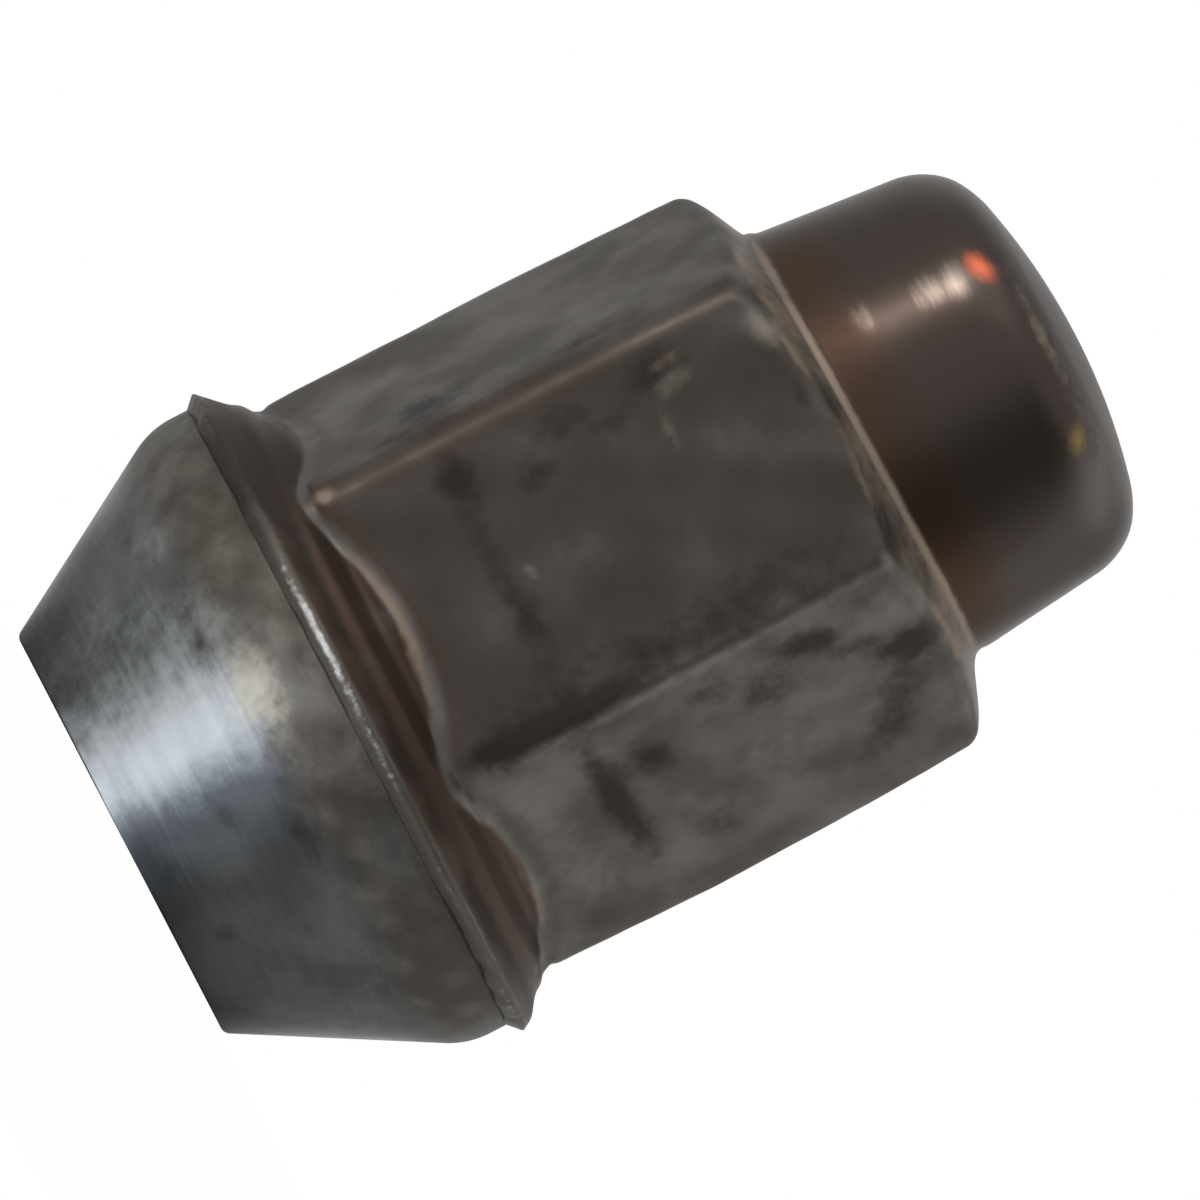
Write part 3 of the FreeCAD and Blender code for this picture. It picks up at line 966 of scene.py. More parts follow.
    # The flat facing the camera is browned most: painted shade on top of the tarnish.
    tarnish_and_shade_share: dict[Flat, float] = field(
        default_factory=lambda: {
            Flat.MIDDLE: 0.8,
            Flat.LOWER: 0.12,
            Flat.UPPER: 0.2,
            Flat.BACK: 0.5,
            Flat.BACK_LOWER: 0.35,
            Flat.BACK_UPPER: 0.45,
        }
    )

    def ring_turns(self) -> np.ndarray:
        """Angles of a ring's points, crowded where the hexagon bends."""
        even = np.arange(self.points) * (2 * math.pi / self.points)
        return even - self.bunching / HEX_SIDES * np.sin(HEX_SIDES * even)

    def lip_nicks(self, turn: np.ndarray) -> np.ndarray:
        """How far the lip is worn back along the skirt.

        Args:
            turn: Angles about the axis, in radians.

        Returns:
            Distances in millimetres, zero at the lip's unworn tips.
        """
        circle = np.stack([np.cos(turn), np.sin(turn), np.zeros_like(turn)], -1)
        radius = self.sizes.band
        coarse = Ripple(41, 7.0).at(circle * radius)
        fine = Ripple(42, 1.3).at(circle * radius)
        mean, greatest = self.nick_depths
        return np.clip(mean + 0.045 * coarse + 0.03 * fine, 0.0, greatest) * self.lip_wear(turn)

    def lip_wear(self, turn: np.ndarray) -> np.ndarray:
        """How worn the lip is at angles in radians, from 0 at its widest places to 1."""
        return 1 - bell(np.sin(turn - math.radians(self.wide_side)), 0.0, self.wide_reach)

    def tilt(self, turn: np.ndarray) -> np.ndarray:
        """How much higher than its mean the shoulder lies at angles in radians."""
        return self.shoulder_tilt * np.cos(turn - math.radians(self.wide_side))

    def forms(self, radius: np.ndarray, turn: np.ndarray, height: np.ndarray) -> dict[str, np.ndarray]:
        """Signed distances to the simple forms that make up the cap.

        Args:
            radius: Distances of points from the axis.
            turn: Their angles about the axis, in radians.
            height: Their heights.

        Returns:
            Distances by the form's name.
        """
        s = self.sizes
        slope, draft = math.radians(s.shoulder_angle), math.radians(s.draft)
        lip_radius, lip_height = s.lip
        fall = height - s.shoulder - self.tilt(turn) + (radius - s.round_end) * math.tan(slope)
        from_end = radius + self.end_shift * np.cos(turn - math.radians(self.wide_side))
        taper = from_end - s.round_end + (height - s.shoulder) * math.tan(draft)
        return {
            "hexagon": hexagon_distance(
                radius, turn, s.half_flats(height), self.worn_edge(turn, height)
            ),
            "shoulder": fall * math.cos(slope),
            "skirt": (radius + height - lip_radius - lip_height) / math.sqrt(2),
            "cut": (radius - height - lip_radius + lip_height) / math.sqrt(2),
            "end": np.maximum(
                self.end_distance(from_end, height, taper * math.cos(draft)),
                s.shoulder - self.end_depth - height,
            ),
        }

    def worn_edge(self, turn: np.ndarray, height: np.ndarray) -> np.ndarray:
        """Radius of the hexagon's nearest edge.

        Args:
            turn: Angles about the axis, in radians.
            height: Heights of the points.

        Returns:
            Radii in millimetres.
        """
        nearest = np.round(np.degrees(turn) / SIDE_DEGREES).astype(int) % HEX_SIDES
        worn = np.zeros(np.broadcast(turn, height).shape)
        for angle, radii in self.edge_radii.items():
            here = nearest == round(angle / SIDE_DEGREES) % HEX_SIDES
            worn = np.where(here, np.interp(height, self.edge_heights, radii), worn)
        return worn

    def end_distance(self, radius: np.ndarray, height: np.ndarray, side: np.ndarray) -> np.ndarray:
        """Signed distance to the round end: drafted side, rim and domed top.

        Args:
            radius: Distances of points from the axis.
            height: Their heights.
            side: Their distances from the drafted side.

        Returns:
            Distances, negative inside.
        """
        s = self.sizes
        draft = math.radians(s.draft)
        dome_centre = np.array([0.0, s.top - s.dome])
        out = np.array([math.cos(draft), math.sin(draft)])
        along = np.array([-math.sin(draft), math.cos(draft)])
        offset = np.array([s.round_end, s.shoulder]) - out * s.rim - dome_centre
        drift = offset @ along
        run = math.sqrt(drift**2 - offset @ offset + (s.dome - s.rim) ** 2) - drift
        centre = dome_centre + offset + along * run
        dome = np.hypot(radius - dome_centre[0], height - dome_centre[1]) - s.dome
        rise = np.arctan2(height - centre[1], radius - centre[0])
        last = math.atan2(centre[1] - dome_centre[1], centre[0])
        rim = np.hypot(radius - centre[0], height - centre[1]) - s.rim
        return np.where((rise > draft) & (rise < last), rim, np.maximum(side, dome))

    def skin(
        self, radius: np.ndarray, turn: np.ndarray, height: np.ndarray, nicks: np.ndarray | None
    ) -> np.ndarray:
        """Signed distance to the cap's outer skin.

        Args:
            radius: Distances of points from the axis.
            turn: Their angles about the axis, in radians.
            height: Their heights.
            nicks: Wear of the lip at those angles, or None to leave the skirt uncut.

        Returns:
            Distances, negative inside.
        """
        form = self.forms(radius, turn, height)
        s = self.sizes
        body = meet_round(
            form["hexagon"], form["shoulder"], self.shoulder_edge, 90 - s.shoulder_angle
        )
        skirt = form["skirt"]
        if nicks is not None:
            sharp, worn = self.lip_edge
            tip = sharp + (worn - sharp) * self.lip_wear(turn)
            skirt = meet_round(skirt, form["cut"] + nicks, tip, 90)
        body = join_round(body, skirt, self.neck_blend, 45)
        return join_round(body, form["end"], self.foot_blend, 90 - s.shoulder_angle - s.draft)

    def along_rays(
        self,
        start: np.ndarray,
        rays: np.ndarray,
        turn: np.ndarray,
        inset: float,
        nicks: np.ndarray | None,
    ) -> np.ndarray:
        """Find where rays in the section plane leave the cap's skin.

        Args:
            start: Radius and height where each ray starts, inside the cap.
            rays: Direction of each ray in radius and height.
            turn: Angle of each ray's plane about the axis, in radians.
            inset: How far inside the skin to stop.
            nicks: Wear of the lip, or None to leave the skirt uncut.

        Returns:
            Radius and height of each point found.
        """

        def inside(length: np.ndarray) -> np.ndarray:
            """Tell whether each ray is still inside the skin at a length."""
            spot = start + rays * length[..., None]
            return self.skin(spot[..., 0], turn, spot[..., 1], nicks) < -inset

        length = halved(inside, np.zeros(turn.shape), np.full(turn.shape, self.ray_reach))
        return start + rays * length[..., None]

    def section_rays(
        self, heights: np.ndarray, fan: np.ndarray, turn: np.ndarray
    ) -> tuple[np.ndarray, np.ndarray]:
        """Rays that meet the skin in rows: level ones, then a fan over the rim and dome.

        Args:
            heights: Height of each level row.
            fan: Rise of each fan row, in radians.
            turn: Angles of a ring's points.

        Returns:
            Starts and directions, as row, point, then radius and height.
        """
        levels = len(heights)
        start = np.zeros((levels + len(fan), len(turn), 2))
        rays = np.zeros_like(start)
        start[:levels, :, 1] = heights[:, None]
        rays[:levels, :, 0] = 1.0
        start[levels:, :, 1] = self.fan_height
        rays[levels:, :, 0] = np.cos(fan)[:, None]
        rays[levels:, :, 1] = np.sin(fan)[:, None]
        return start, rays

    def outer_rows(self) -> tuple[np.ndarray, np.ndarray]:
        """Place the rows of the outer skin, close together where it bends.

        Returns:
            Heights of the level rows and rises of the fan rows.
        """
        s = self.sizes
        # First and last height and number of rows of each stretch.
        spans = (
            (s.band_top, s.lip[1], 7),
            (s.lip[1], 9.15, 5),
            (9.15, 10.2, 11),
            (10.2, 12.3, 28),
            (12.3, 26.0, 46),
            (26.0, 28.0, 36),
            (28.0, 29.2, 16),
            (29.2, 32.2, 10),
        )
        heights = np.concatenate([np.linspace(a, b, n, endpoint=False) for a, b, n in spans])
        side, shoulder, pole = (math.radians(rise) for rise in (9.5, 52.0, 90.0))
        fan = np.concatenate([
            np.linspace(side, shoulder, 24, endpoint=False),
            np.linspace(shoulder, pole, 12),
        ])
        return heights, fan

    def inner_rows(self) -> tuple[np.ndarray, np.ndarray]:
        """Place the rows of the sheet's inside, which hardly shows.

        Returns:
            Heights of the level rows and rises of the fan rows.
        """
        heights = np.concatenate([
            np.linspace(9.0, 11.8, 8), (15.0, 19.0, 23.0, 26.0), np.linspace(26.6, 27.9, 4), (29.0, 31.0),
        ])
        return heights, np.radians((12.0, 25.0, 38.0, 52.0, 68.0, 90.0))

    def build(self) -> bpy.types.Object:
        """Make the cap's mesh with its masks.

        Returns:
            The cap, standing for its solid.
        """
        s = self.sizes
        turns = self.ring_turns()
        heights, fan = self.outer_rows()
        start, rays = self.section_rays(heights, fan, turns)
        turn = np.broadcast_to(turns, start.shape[:2])
        nicks = self.lip_nicks(turn)
        lift = nicks / math.sqrt(2) * ease(start[..., 1], self.follow_top, s.lip[1])
        lift[len(heights):] = 0.0
        start = start + np.stack([np.zeros_like(lift), lift], -1)
        outer = self.along_rays(start, rays, turn, 0.0, nicks)
        sunk = self.sunk(in_space(outer, turn), outer, turn)
        outer = outer - rays * sunk[..., None]
        points = in_space(outer, turn)

        start, rays = self.section_rays(*self.inner_rows(), turns)
        inner_turn = np.broadcast_to(turns, start.shape[:2])
        inner = self.along_rays(start, rays, inner_turn, s.wall, None)
        inner_points = in_space(inner, inner_turn)[::-1]

        rings = np.concatenate([inner_points, points])
        piece = lofted_mesh("cap_sheet", rings, Ends.POLES)
        masks = self.masks(points, outer, turn, nicks)
        hidden = np.zeros(inner_points.shape[:2])
        keep_masks(
            piece, {name: np.concatenate([hidden, mask]) for name, mask in masks.items()}, Ends.POLES
        )
        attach(piece, "root")
        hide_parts("cap")
        return piece

    def sunk(self, points: np.ndarray, section: np.ndarray, turn: np.ndarray) -> np.ndarray:
        """How far the skin lies inside its true form: dents, beads and the sheet's unevenness.

        Args:
            points: Points of the skin.
            section: Their radius and height.
            turn: Their angles about the axis.

        Returns:
            Distances in millimetres, below zero where the skin stands out.
        """
        radius, height = section[..., 0], section[..., 1]
        upper = height - self.tilt(turn)
        wide = turned_from(turn, self.wide_side)
        free = ease(height, 11.0, 12.5) * ease(height, 27.0, 26.0)
        worn = 0.018 + 0.010 * Ripple(5, 6.0).at(points) + 0.004 * Ripple(6, 1.5).at(points)
        depth = worn * (0.35 + 0.65 * free) * ease(height, 35.9, 34.0) + total(self.dents, points) * free
        raised = (
            self.foot_bead.at(upper)
            + self.soft_rim.at(height)
            + self.lip_swelling.at(height) * bell(wide, 0.0, 0.35)
            + self.steep_fall.at(upper) * bell(wide, 0.0, 0.7)
            + total(self.flare_rings, height) * ease(radius, 9.8, 10.1)
        )
        return np.maximum(depth, 0.0) - raised

    def masks(
        self, points: np.ndarray, section: np.ndarray, turn: np.ndarray, nicks: np.ndarray
    ) -> dict[str, np.ndarray]:
        """Where the sheet is browned, rubbed, stained and rusted, and where shade, highlights and
        reflections are painted on it.

        Args:
            points: Points of the skin.
            section: Their radius and height.
            turn: Their angles about the axis.
            nicks: Wear of the lip at those angles.

        Returns:
            Masks by name, to be kept from 0 to 1.
        """
        radius, height = section[..., 0], section[..., 1]
        form = self.forms(radius, turn, height)
        uneven = Ripple(11, 3.0).at(points)
        upper = height - self.tilt(turn)
        cut = form["cut"] + nicks

        # Zones, from the lip up: skirt, its upper corners, flats, shoulder, ledge, round end's foot, rim.
        low_part = ease(height, 13.0, 12.5)
        on_skirt = ease(form["hexagon"], 0.02, 0.2) * low_part
        lens = on_skirt * ease(height, 10.95, 11.3)
        hexagon = ease(form["skirt"], 0.15, 0.5) * ease(upper, 28.0, 27.4)
        slope = ease(form["hexagon"], 0.0, -0.3) * ease(upper, 26.8, 27.4) * ease(upper, 27.95, 27.8)
        ledge = bell(upper, 28.06, 0.16) * ease(radius, 9.0, 8.4)
        foot = ease(upper, 28.1, 28.3) * ease(upper, 31.2, 28.5)
        rim = ease(height, 34.2, 35.3)

        # Lines where zones meet or where the sheet is bent.
        ridge = bell(form["skirt"], -0.08, 0.2) * bell(cut, 0.0, 0.14)
        wavy = height + 0.07 * uneven
        dark_ring = bell(wavy, 9.6, 0.3) + 0.4 * bell(wavy, 10.8, 0.16)
        junction = bell(form["hexagon"] - form["skirt"], -0.04, 0.2) * low_part
        beside = bell(form["skirt"], 0.4, 0.3) * ease(form["hexagon"], 0.1, 0.0)
        beside = beside * ease(height, 13.5, 12.5)
        edge = bell(off_edge(turn) * radius, 0.0, 0.7) * hexagon
        top_edge = bell(turned_from(turn, self.clear_edge), 0.0, 0.12) * hexagon
        crease = bell(np.sin(turn - math.radians(self.creased_side)), 0.0, 0.3) * bell(height, 34.95, 0.2)

        # Sides that are more worn than others, and sides with painted shade or a painted reflection.
        rusty = bell(turned_from(turn, self.rusty_side), 0.0, 0.4)
        grimy = bell(turned_from(turn, self.grimy_side), 0.0, 0.4)
        rim_reflection_side = bell(np.sin((turn - math.radians(self.rim_reflection_side)) / 2), 0.0, 0.3)
        # Flats browned by their share; the camera's flat most, as painted shade.
        tarnish_and_shade = np.zeros_like(height)
        for flat, share in self.tarnish_and_shade_share.items():
            off = np.abs(turned_from(turn, flat.value))
            tarnish_and_shade += share * ease(off * radius, 5.7, 5.1) * hexagon
        tarnish_and_shade = np.maximum(tarnish_and_shade, 0.6 * top_edge)
        return {
            "tarnish_and_shade": tarnish_and_shade + 0.1 * uneven * hexagon,
            "satin": ease(height, 28.0, 28.4),
            "warm": foot * (0.9 + 0.15 * uneven) * (1 - ledge),
            # Greyer patches, partly a painted reflection.
            "bare_and_reflection": total(self.bare_and_reflection_marks, points),
            # Rubbed wear; on the rim, a painted reflection brightest on the lower side.
            "rubbed_and_reflection": total(self.rubs, points) * hexagon
            + 0.3 * edge * (0.8 + 0.4 * uneven) * (1 - 0.8 * top_edge)
            + rim * (0.2 + 0.34 * rim_reflection_side),
            # Painted highlight strokes.
            "painted_highlight": total(self.highlight_strokes, points),
            # Stains, with painted shade along the middle flat's lower edge.
            "stain_and_shade": total(self.stains_and_shade, points) * hexagon
            + 0.12 * slope * (1 + 0.4 * uneven) + top_edge * (0.1 + 0.1 * uneven),
            "crust": ease(cut, -0.3, -0.12) * ease(height, 9.4, 9.0),
            "rust": on_skirt * (0.95 + 0.1 * uneven) * ease(height, 9.05, 9.3)
            + 0.12 * slope + 0.9 * foot * (1 - ledge) * rusty
            + (0.16 + 0.24 * ease(height, 24.0, 18.0)) * top_edge + 0.4 * beside,
            "grime": on_skirt * (dark_ring * (0.8 + 0.2 * uneven) + 0.85 * grimy),
            # Tan scale; the bends between flare and flats also get a painted highlight.
            "tan": lens * (0.2 + 0.12 * uneven) + junction * total(self.bend_highlights, points)
            + total(self.tans, points) + ledge * (1.0 + 0.2 * uneven) + 0.5 * crease
            + slope * (0.5 + 0.12 * uneven),
            "gilt": total(self.gilts, points),
            # Painted orange glint.
            "orange_glint": total(self.orange_glints, points),
            # Lip wear, with painted glints toward the light.
            "lip": ridge * (0.02 + stretches(turn, self.worn_lip_and_glints)),
        }

    def dress(self, piece: bpy.types.Object) -> None:
        """Give the cap its finish."""
        piece.data.materials.append(self.finish.material())


@dataclass
class NutCore:
    """Turned steel nut: open end, conical seat, band, threaded bore and hidden hexagon.

    Attributes:
        sizes: Sizes of the nut.
        points: Points in each ring.
        thread_rows: Rows in each turn of the thread.
        band_gap: How far below the band's top the seat's last row lies.
        mouth_row: Height of the countersink's last row over the open end.
        worn_and_lit_side: Angle in degrees of the side that shows most wear and faces the light, where
            highlights of seat and band are painted.
        finish: Finish of the steel.
        seat_polish_and_highlight: Polished stretches of the seat, those toward the light also a painted
            highlight: angle and half width in degrees, strength.
        dark_spots: Grimy spots of the seat: angle in degrees, height, half width in degrees, half height.
    """

    sizes: NutSizes
    points: int = 288
    thread_rows: int = 12
    band_gap: float = 0.02
    mouth_row: float = 0.06
    worn_and_lit_side: float = -93.0
    finish: MetalFinish = TURNED_STEEL
    seat_polish_and_highlight: tuple[tuple[float, float, float], ...] = (
        (-90.0, 9.0, 0.7),
        (-102.0, 13.0, 0.42),
        (-125.0, 16.0, 0.13),
        (30.0, 16.0, 0.5),
        (125.0, 18.0, 0.6),
    )
    dark_spots: tuple[tuple[float, float, float, float], ...] = (
        (-47.0, 1.5, 5.0, 0.4),
        (-74.0, 3.4, 5.0, 0.4),
        (-62.0, 5.4, 8.0, 0.5),
        (-138.0, 4.6, 6.0, 0.5),
        (70.0, 3.0, 5.0, 0.5),
        (170.0, 4.4, 7.0, 0.4),
    )

    def seat_section(self) -> np.ndarray:
        """Radius and height down the outside, from the countersink's mouth to the band's top.

        Returns:
            Points of the section.
        """
        s = self.sizes
        cone = math.radians(s.seat_angle)
        along = np.array([math.sin(cone), math.cos(cone)])
        out = np.array([math.cos(cone), -math.sin(cone)])
        setback = s.end_edge * math.tan((math.pi / 2 - cone) / 2)
        end_centre = np.array([s.end - setback, s.end_edge])
        turn = np.linspace(-math.pi / 2, -cone, 8)
        end_edge = end_centre + s.end_edge * np.stack([np.cos(turn), np.sin(turn)], -1)
        corner = np.array([s.band, s.cone_top])
        blend_back = s.band_blend * math.tan(cone / 2)
        blend_centre = corner - along * blend_back - out * s.band_blend
        turn = np.linspace(-cone, 0.0, 14)
        blend = blend_centre + s.band_blend * np.stack([np.cos(turn), np.sin(turn)], -1)
        land = np.linspace([s.countersink[0], 0.0], end_edge[0], 4, endpoint=False)
        seat = np.linspace(end_edge[-1], blend[0], 42)[1:-1]
        top = np.array([s.band, s.band_top - self.band_gap])
        band = np.linspace(blend[-1], top, 8)[1:]
        return np.concatenate([land, end_edge, seat, blend, band])

    def hidden_rings(self, turn: np.ndarray) -> np.ndarray:
        """Rings of the flare and hexagon under the cap.

        Args:
            turn: Angles of a ring's points.

        Returns:
            Radius and height, as ring, point, value.
        """
        s = self.sizes

        def inside(radius: np.ndarray) -> np.ndarray:
            """Tell whether each radius is still inside the hexagon."""
            return hexagon_distance(radius, turn, s.core_half_flats, s.edge) < 0

        side = halved(inside, np.full(turn.shape, s.thread), np.full(turn.shape, s.lip[0]))
        flare = s.band + s.band_top - s.clearance * math.sqrt(2)
        bevel = s.core_top + (s.core_half_flats - side) * math.tan(math.radians(s.shoulder_angle))
        return np.stack([
            np.stack([side, flare - side], -1),
            np.stack([side, bevel], -1),
            np.stack([np.full_like(side, s.core_half_flats), np.full_like(side, s.core_top)], -1),
        ])

    def bore_rings(self, turn: np.ndarray) -> np.ndarray:
        """Rings of the threaded bore, from its top down to the countersink's mouth.

        Args:
            turn: Angles of a ring's points.

        Returns:
            Radius and height, as ring, point, value.
        """
        s = self.sizes
        mouth, depth = s.countersink
        step = s.pitch / self.thread_rows
        heights = np.concatenate([
            np.arange(s.core_top, depth, -step), np.linspace(depth, self.mouth_row, 12),
        ])
        height = np.broadcast_to(heights[:, None], (len(heights), len(turn)))
        lead = (height / s.pitch - turn / (2 * math.pi)) % 1.0
        from_root = np.abs(lead - 0.5) * s.pitch - s.pitch / 16
        thread = np.clip(s.thread - from_root * math.sqrt(3), s.bore, s.thread)
        return np.stack([np.maximum(thread, mouth - height), height], -1)

    def build(self) -> bpy.types.Object:
        """Make the nut's mesh with its masks.

        Returns:
            The nut, standing for its solid.
        """
        turn = np.arange(self.points) * (2 * math.pi / self.points)
        seat = self.seat_section()
        seat = np.broadcast_to(seat[:, None], (len(seat), self.points, 2))
        section = np.concatenate([seat, self.hidden_rings(turn), self.bore_rings(turn)])
        turns = np.broadcast_to(turn, section.shape[:2])
        rings = in_space(section, turns)
        piece = lofted_mesh("nut_core_steel", rings, Ends.JOINED)
        keep_masks(piece, self.masks(rings, section, turns, len(seat)), Ends.JOINED)
        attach(piece, "root")
        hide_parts("nut_core")
        return piece

    def masks(
        self, points: np.ndarray, section: np.ndarray, turn: np.ndarray, seat_rows: int
    ) -> dict[str, np.ndarray]:
        """Where the steel is polished, tinted, oxidised and grimy, and where highlights are painted on it.

        Args:
            points: Points of the mesh.
            section: Their radius and height.
            turn: Their angles about the axis.
            seat_rows: Number of rows outside, before the hidden and bored ones.

        Returns:
            Masks by name, to be kept from 0 to 1.
        """
        height = section[..., 1]
        outside = np.zeros_like(height)
        outside[:seat_rows] = 1.0
        uneven = Ripple(23, 5.0).at(points)
        fine = Ripple(24, 1.6).at(points)
        # Polish all round, strongest on the side toward the light, where it is a painted highlight.
        polish_and_sheen = stretches(turn, self.seat_polish_and_highlight)
        facing = turned_from(turn, self.worn_and_lit_side)
        smear = bell(height, 5.3, 0.35) * bell(facing, -0.22, 0.2)
        for angle, spot_height, width, tall in self.dark_spots:
            spot = stretches(turn, ((angle, width, 0.6),))
            smear = smear + spot * bell(height, spot_height, tall)
        # Where the band faces the light, its oxide thins and flecks and gold gather: a painted highlight.
        highlight_gap = bell(facing, 0.03, 0.17) * ease(height, 8.0, 6.2)
        return {
            "polish_and_highlight": ease(height, 7.8, 5.4) * (polish_and_sheen + 0.05 * uneven + 0.04 * fine) * outside,
            "lines": ease(height, 6.4, 5.0) * (0.05 + 0.6 * polish_and_sheen) * outside,
            "oxide": ease(height, 4.9, 7.0) * (0.85 + 0.12 * uneven) * (1 - 0.55 * highlight_gap) * outside,
            "fleck_and_sheen": ease(height, 5.0, 6.6) * (
                0.12 + 0.5 * bell(facing, 0.12, 0.3) + 0.25 * bell(facing, -0.75, 0.45) + 0.1 * fine
            ) * outside,
            "gold_and_glint": bell(height, 6.2, 0.8) * bell(facing, 0.03, 0.13) * 0.8 * outside,
            "grime": (0.25 * ease(height, 8.0, 8.4) + 0.1 * fine + 0.6 * smear) * outside
            + (1 - outside) * 0.6,
        }

    def dress(self, piece: bpy.types.Object) -> None:
        """Give the nut its finish."""
        piece.data.materials.append(self.finish.material())


@dataclass(frozen=True)
class Lamp:
    """Soft lamp, placed by angles from the camera's direction.

    Attributes:
        name: Name of the lamp.
        turn: Angle about the axis from the camera, in degrees.
        rise: Angle above the floor, in degrees.
        distance: Distance from the nut's middle, in metres.
        size: Width and height, in metres.
        power: Power in watts.
        colour: Colour of its light.
        gloss_only: Whether it is only a reflection on metal, as a white card is.
    """

    name: str
    turn: float
    rise: float
    distance: float
    size: tuple[float, float]
    power: float
    colour: str = "#ffffff"
    gloss_only: bool = False


@dataclass(frozen=True)
class Card:
    """Curved glowing card round the nut that only the metal's gloss shows, as a painted reflection.

    Attributes:
        name: Name of the card.
        turns: First and last angle about the axis from the camera, in degrees.
        lower: Distance from the axis and height of its lower edge, in metres.
        upper: Distance from the axis and height of its upper edge, in metres.
        tone: Colour of the card.
        strength: How many times as bright as its colour the card glows.
        fades: Widths over which its first and its last side fade out, in degrees.
    """

    name: str
    turns: tuple[float, float]
    lower: tuple[float, float]
    upper: tuple[float, float]
    tone: str
    strength: float = 1.0
    fades: tuple[float, float] = (0.1, 0.1)


@dataclass
class Studio:
    """Floor, backdrop, lamps, cards and camera.

    Attributes:
        facing: Angle about the axis of the direction to the camera, in degrees.
        dip: How far the camera looks up at the nut, in degrees.
        roll: Turn of the picture, in degrees.
        distance: Distance of the camera from the nut's axis, in metres.
        field: Width of the picture at the axis, in metres.
        aim_height: Height of the picture's middle, in millimetres.
        aim_down: Offset of the picture's middle from the axis, in millimetres.
        floor_half: Half the width of the floor, in metres.
        floor_tone: Colour of the floor.
        lamps: Lamps round the nut.
        cards: Cards round the nut.
    """

    facing: float = -79.5
    dip: float = 0.681
    roll: float = 27.45
    distance: float = 1.5
    field: float = 0.0402
    aim_height: float = 17.88
    aim_down: float = 0.42
    floor_half: float = 2.0
    floor_tone: str = "#fdfdfc"
    lamps: tuple[Lamp, ...] = (
        Lamp("key_softbox", -60.0, 50.0, 0.8, (0.5, 0.5), 0.8),
        Lamp("fill_softbox", 110.0, 40.0, 0.9, (0.6, 0.6), 0.6),
        Lamp("round_end_strip", -53.0, 16.0, 0.5, (0.05, 0.22), 0.58, "#fff3ea", True),
    )
    # Glowing cards that only gloss sees: the grey one dims reflections on the right, the two on the floor
    # make the seat's painted highlight.
    cards: tuple[Card, ...] = (
        Card("grey_card_right", (-4.0, 90.0), (0.16, 0.0), (0.16, 0.22), "#928e8a", 1.0, (34.0, 36.0)),
        Card(
            "white_card_on_floor", (-46.0, 5.0), (0.0074, 5e-5), (0.036, 5e-5), "#f6f9ff", 1.95, (40.0, 16.0)
        ),
        Card(
            "pale_card_on_floor", (-16.0, 27.0), (0.0074, 2e-5), (0.036, 2e-5), "#e4edff", 1.6, (8.0, 35.0)
        ),
    )

    def toward(self, turn: float, rise: float) -> Vector:
        """Unit vector at angles in degrees, about the axis from the camera and above the floor."""
        about, up = math.radians(self.facing + turn), math.radians(rise)
        return Vector((math.cos(about) * math.cos(up), math.sin(about) * math.cos(up), math.sin(up)))

    def build(self) -> None:
        """Make everything round the nut."""
        self.set_world()
        self.lay_floor()
        for lamp in self.lamps:
            self.hang_lamp(lamp)
        for card in self.cards:
            self.stand_card(card)
        self.set_camera()

    def set_world(self) -> None:
        """Surround the nut with an even white that lights it and shows in its gloss."""
        world = bpy.data.worlds.new("white_surroundings")
        bpy.context.scene.world = world
        world.use_nodes = True
        tree = world.node_tree
        tree.nodes.clear()
        white = add_node(tree, "ShaderNodeBackground", {}, {"Color": linear("#ffffff"), "Strength": 1.0})
        add_node(tree, "ShaderNodeOutputWorld", {}, {"Surface": white.outputs[0]})

    def lay_floor(self) -> None:
        """Lay a pale floor under the nut."""
        half = self.floor_half
        corners = [(-half, -half, 0), (half, -half, 0), (half, half, 0), (-half, half, 0)]
        floor = mesh_object("floor", corners, [(0, 1, 2, 3)])
        # Matt painted board: pale and even, with no gloss of its own.
        paint = bare_material("matt_pale_board")
        tree = paint.node_tree
        shader = add_node(tree, "ShaderNodeBsdfDiffuse", {}, {"Color": linear(self.floor_tone)})
        add_node(tree, "ShaderNodeOutputMaterial", {}, {"Surface": shader.outputs[0]})
        floor.data.materials.append(paint)

    def hang_lamp(self, lamp: Lamp) -> None:
        """Place one soft lamp so that it points at the nut.

        Args:
            lamp: Lamp to make.
        """
        light = bpy.data.lights.new(lamp.name, "AREA")
        light.shape = "RECTANGLE"
        light.size, light.size_y = lamp.size
        light.energy = lamp.power
        light.color = linear(lamp.colour)[:3]
        holder = bpy.data.objects.new(lamp.name, light)
        way = self.toward(lamp.turn, lamp.rise)
        holder.location = Vector((0, 0, self.aim_height * MM)) + way * lamp.distance
        holder.rotation_mode = "QUATERNION"
        holder.rotation_quaternion = way.to_track_quat("Z", "Y")
        holder.visible_camera = False
        if lamp.gloss_only:
            holder.visible_diffuse = False
        bpy.context.scene.collection.objects.link(holder)

    def stand_card(self, card: Card) -> None:
        """Place one curved card that only gloss can see.

        Args:
            card: Card to make.
        """
        steps = 48
        first, last = card.turns
        turns = np.linspace(first, last, steps)
        points = []
        for distance, height in (card.lower, card.upper):
            feet = [self.toward(turn, 0.0) * distance for turn in turns]
            points += [(foot.x, foot.y, height) for foot in feet]
        faces = [(i, i + 1, steps + i + 1, steps + i) for i in range(steps - 1)]
        stand = mesh_object(card.name, points, faces)
        glow = ease(turns, first, first + card.fades[0]) * ease(turns, last, last - card.fades[1])
        keep_mask(stand.data, "glow", np.tile(glow, 2))
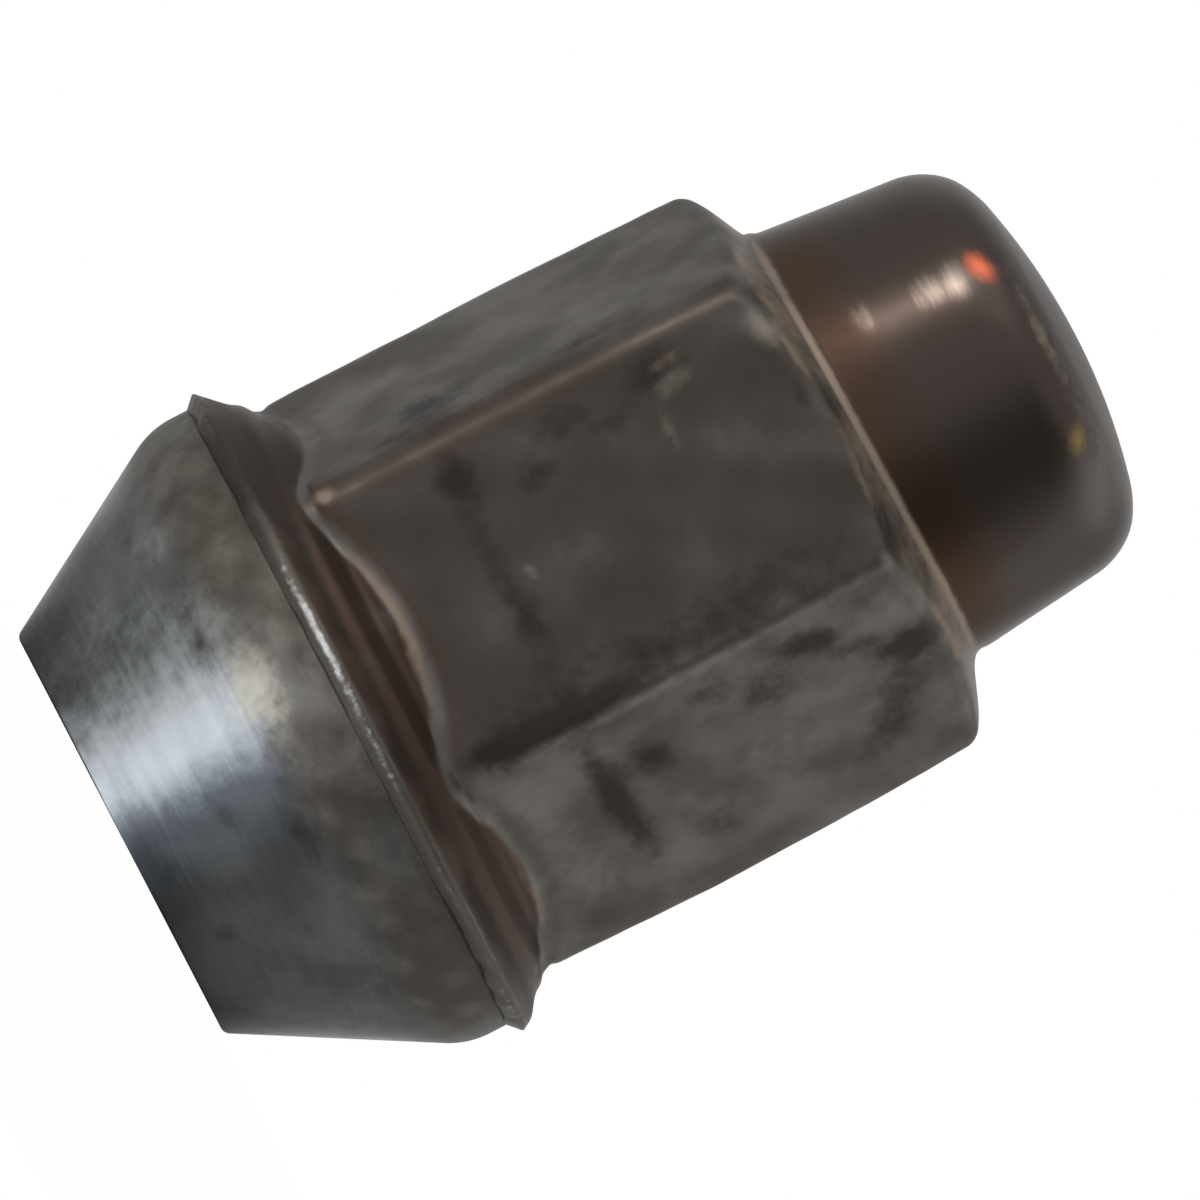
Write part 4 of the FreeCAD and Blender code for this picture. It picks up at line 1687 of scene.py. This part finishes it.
        # Glowing card, no lamp: one even emitted tone that can fade out at its sides.
        dye = bare_material(card.name)
        tree = dye.node_tree
        clear = add_node(tree, "ShaderNodeBsdfTransparent").outputs[0]
        lit = add_node(
            tree, "ShaderNodeEmission", {}, {"Color": linear(card.tone), "Strength": card.strength}
        ).outputs[0]
        share = add_node(tree, "ShaderNodeAttribute", {"attribute_name": "glow"}).outputs["Fac"]
        shader = add_node(tree, "ShaderNodeMixShader", {}, {0: share, 1: clear, 2: lit})
        add_node(tree, "ShaderNodeOutputMaterial", {}, {"Surface": shader.outputs[0]})
        stand.data.materials.append(dye)
        for sight in ("visible_camera", "visible_diffuse", "visible_shadow", "visible_transmission"):
            setattr(stand, sight, False)

    def set_camera(self) -> None:
        """Set the camera at the photograph's viewing angle and framing."""
        lens = bpy.data.cameras.new("camera")
        lens.sensor_width = 36.0
        lens.lens = lens.sensor_width * self.distance / self.field
        lens.clip_start, lens.clip_end = 0.01, 10.0
        camera = bpy.data.objects.new("camera", lens)
        bpy.context.scene.collection.objects.link(camera)
        axis = Vector((0, 0, 1))
        back = self.toward(0.0, -self.dip)
        level_up = back.cross(axis).normalized()
        along = level_up.cross(back).normalized()
        roll = math.radians(self.roll)
        right = along * math.cos(roll) - level_up * math.sin(roll)
        up = along * math.sin(roll) + level_up * math.cos(roll)
        target = axis * (self.aim_height * MM) - level_up * (self.aim_down * MM)
        spot = target + back * self.distance
        camera.matrix_world = Matrix((
            (right.x, up.x, back.x, spot.x),
            (right.y, up.y, back.y, spot.y),
            (right.z, up.z, back.z, spot.z),
            (0, 0, 0, 1),
        ))
        bpy.context.scene.camera = camera
        bpy.context.scene.view_settings.view_transform = "Standard"


def main() -> None:
    """Build and dress both pieces, then the studio."""
    logging.basicConfig(level=logging.INFO, format="%(name)s: %(message)s")
    sizes = NutSizes()
    for part in (NutCore(sizes), CapSheet(sizes)):
        piece = part.build()
        part.dress(piece)
        LOG.info("%s: %d points, %d faces", piece.name, len(piece.data.vertices), len(piece.data.polygons))
    Studio().build()


if __name__ == "__main__":
    main()
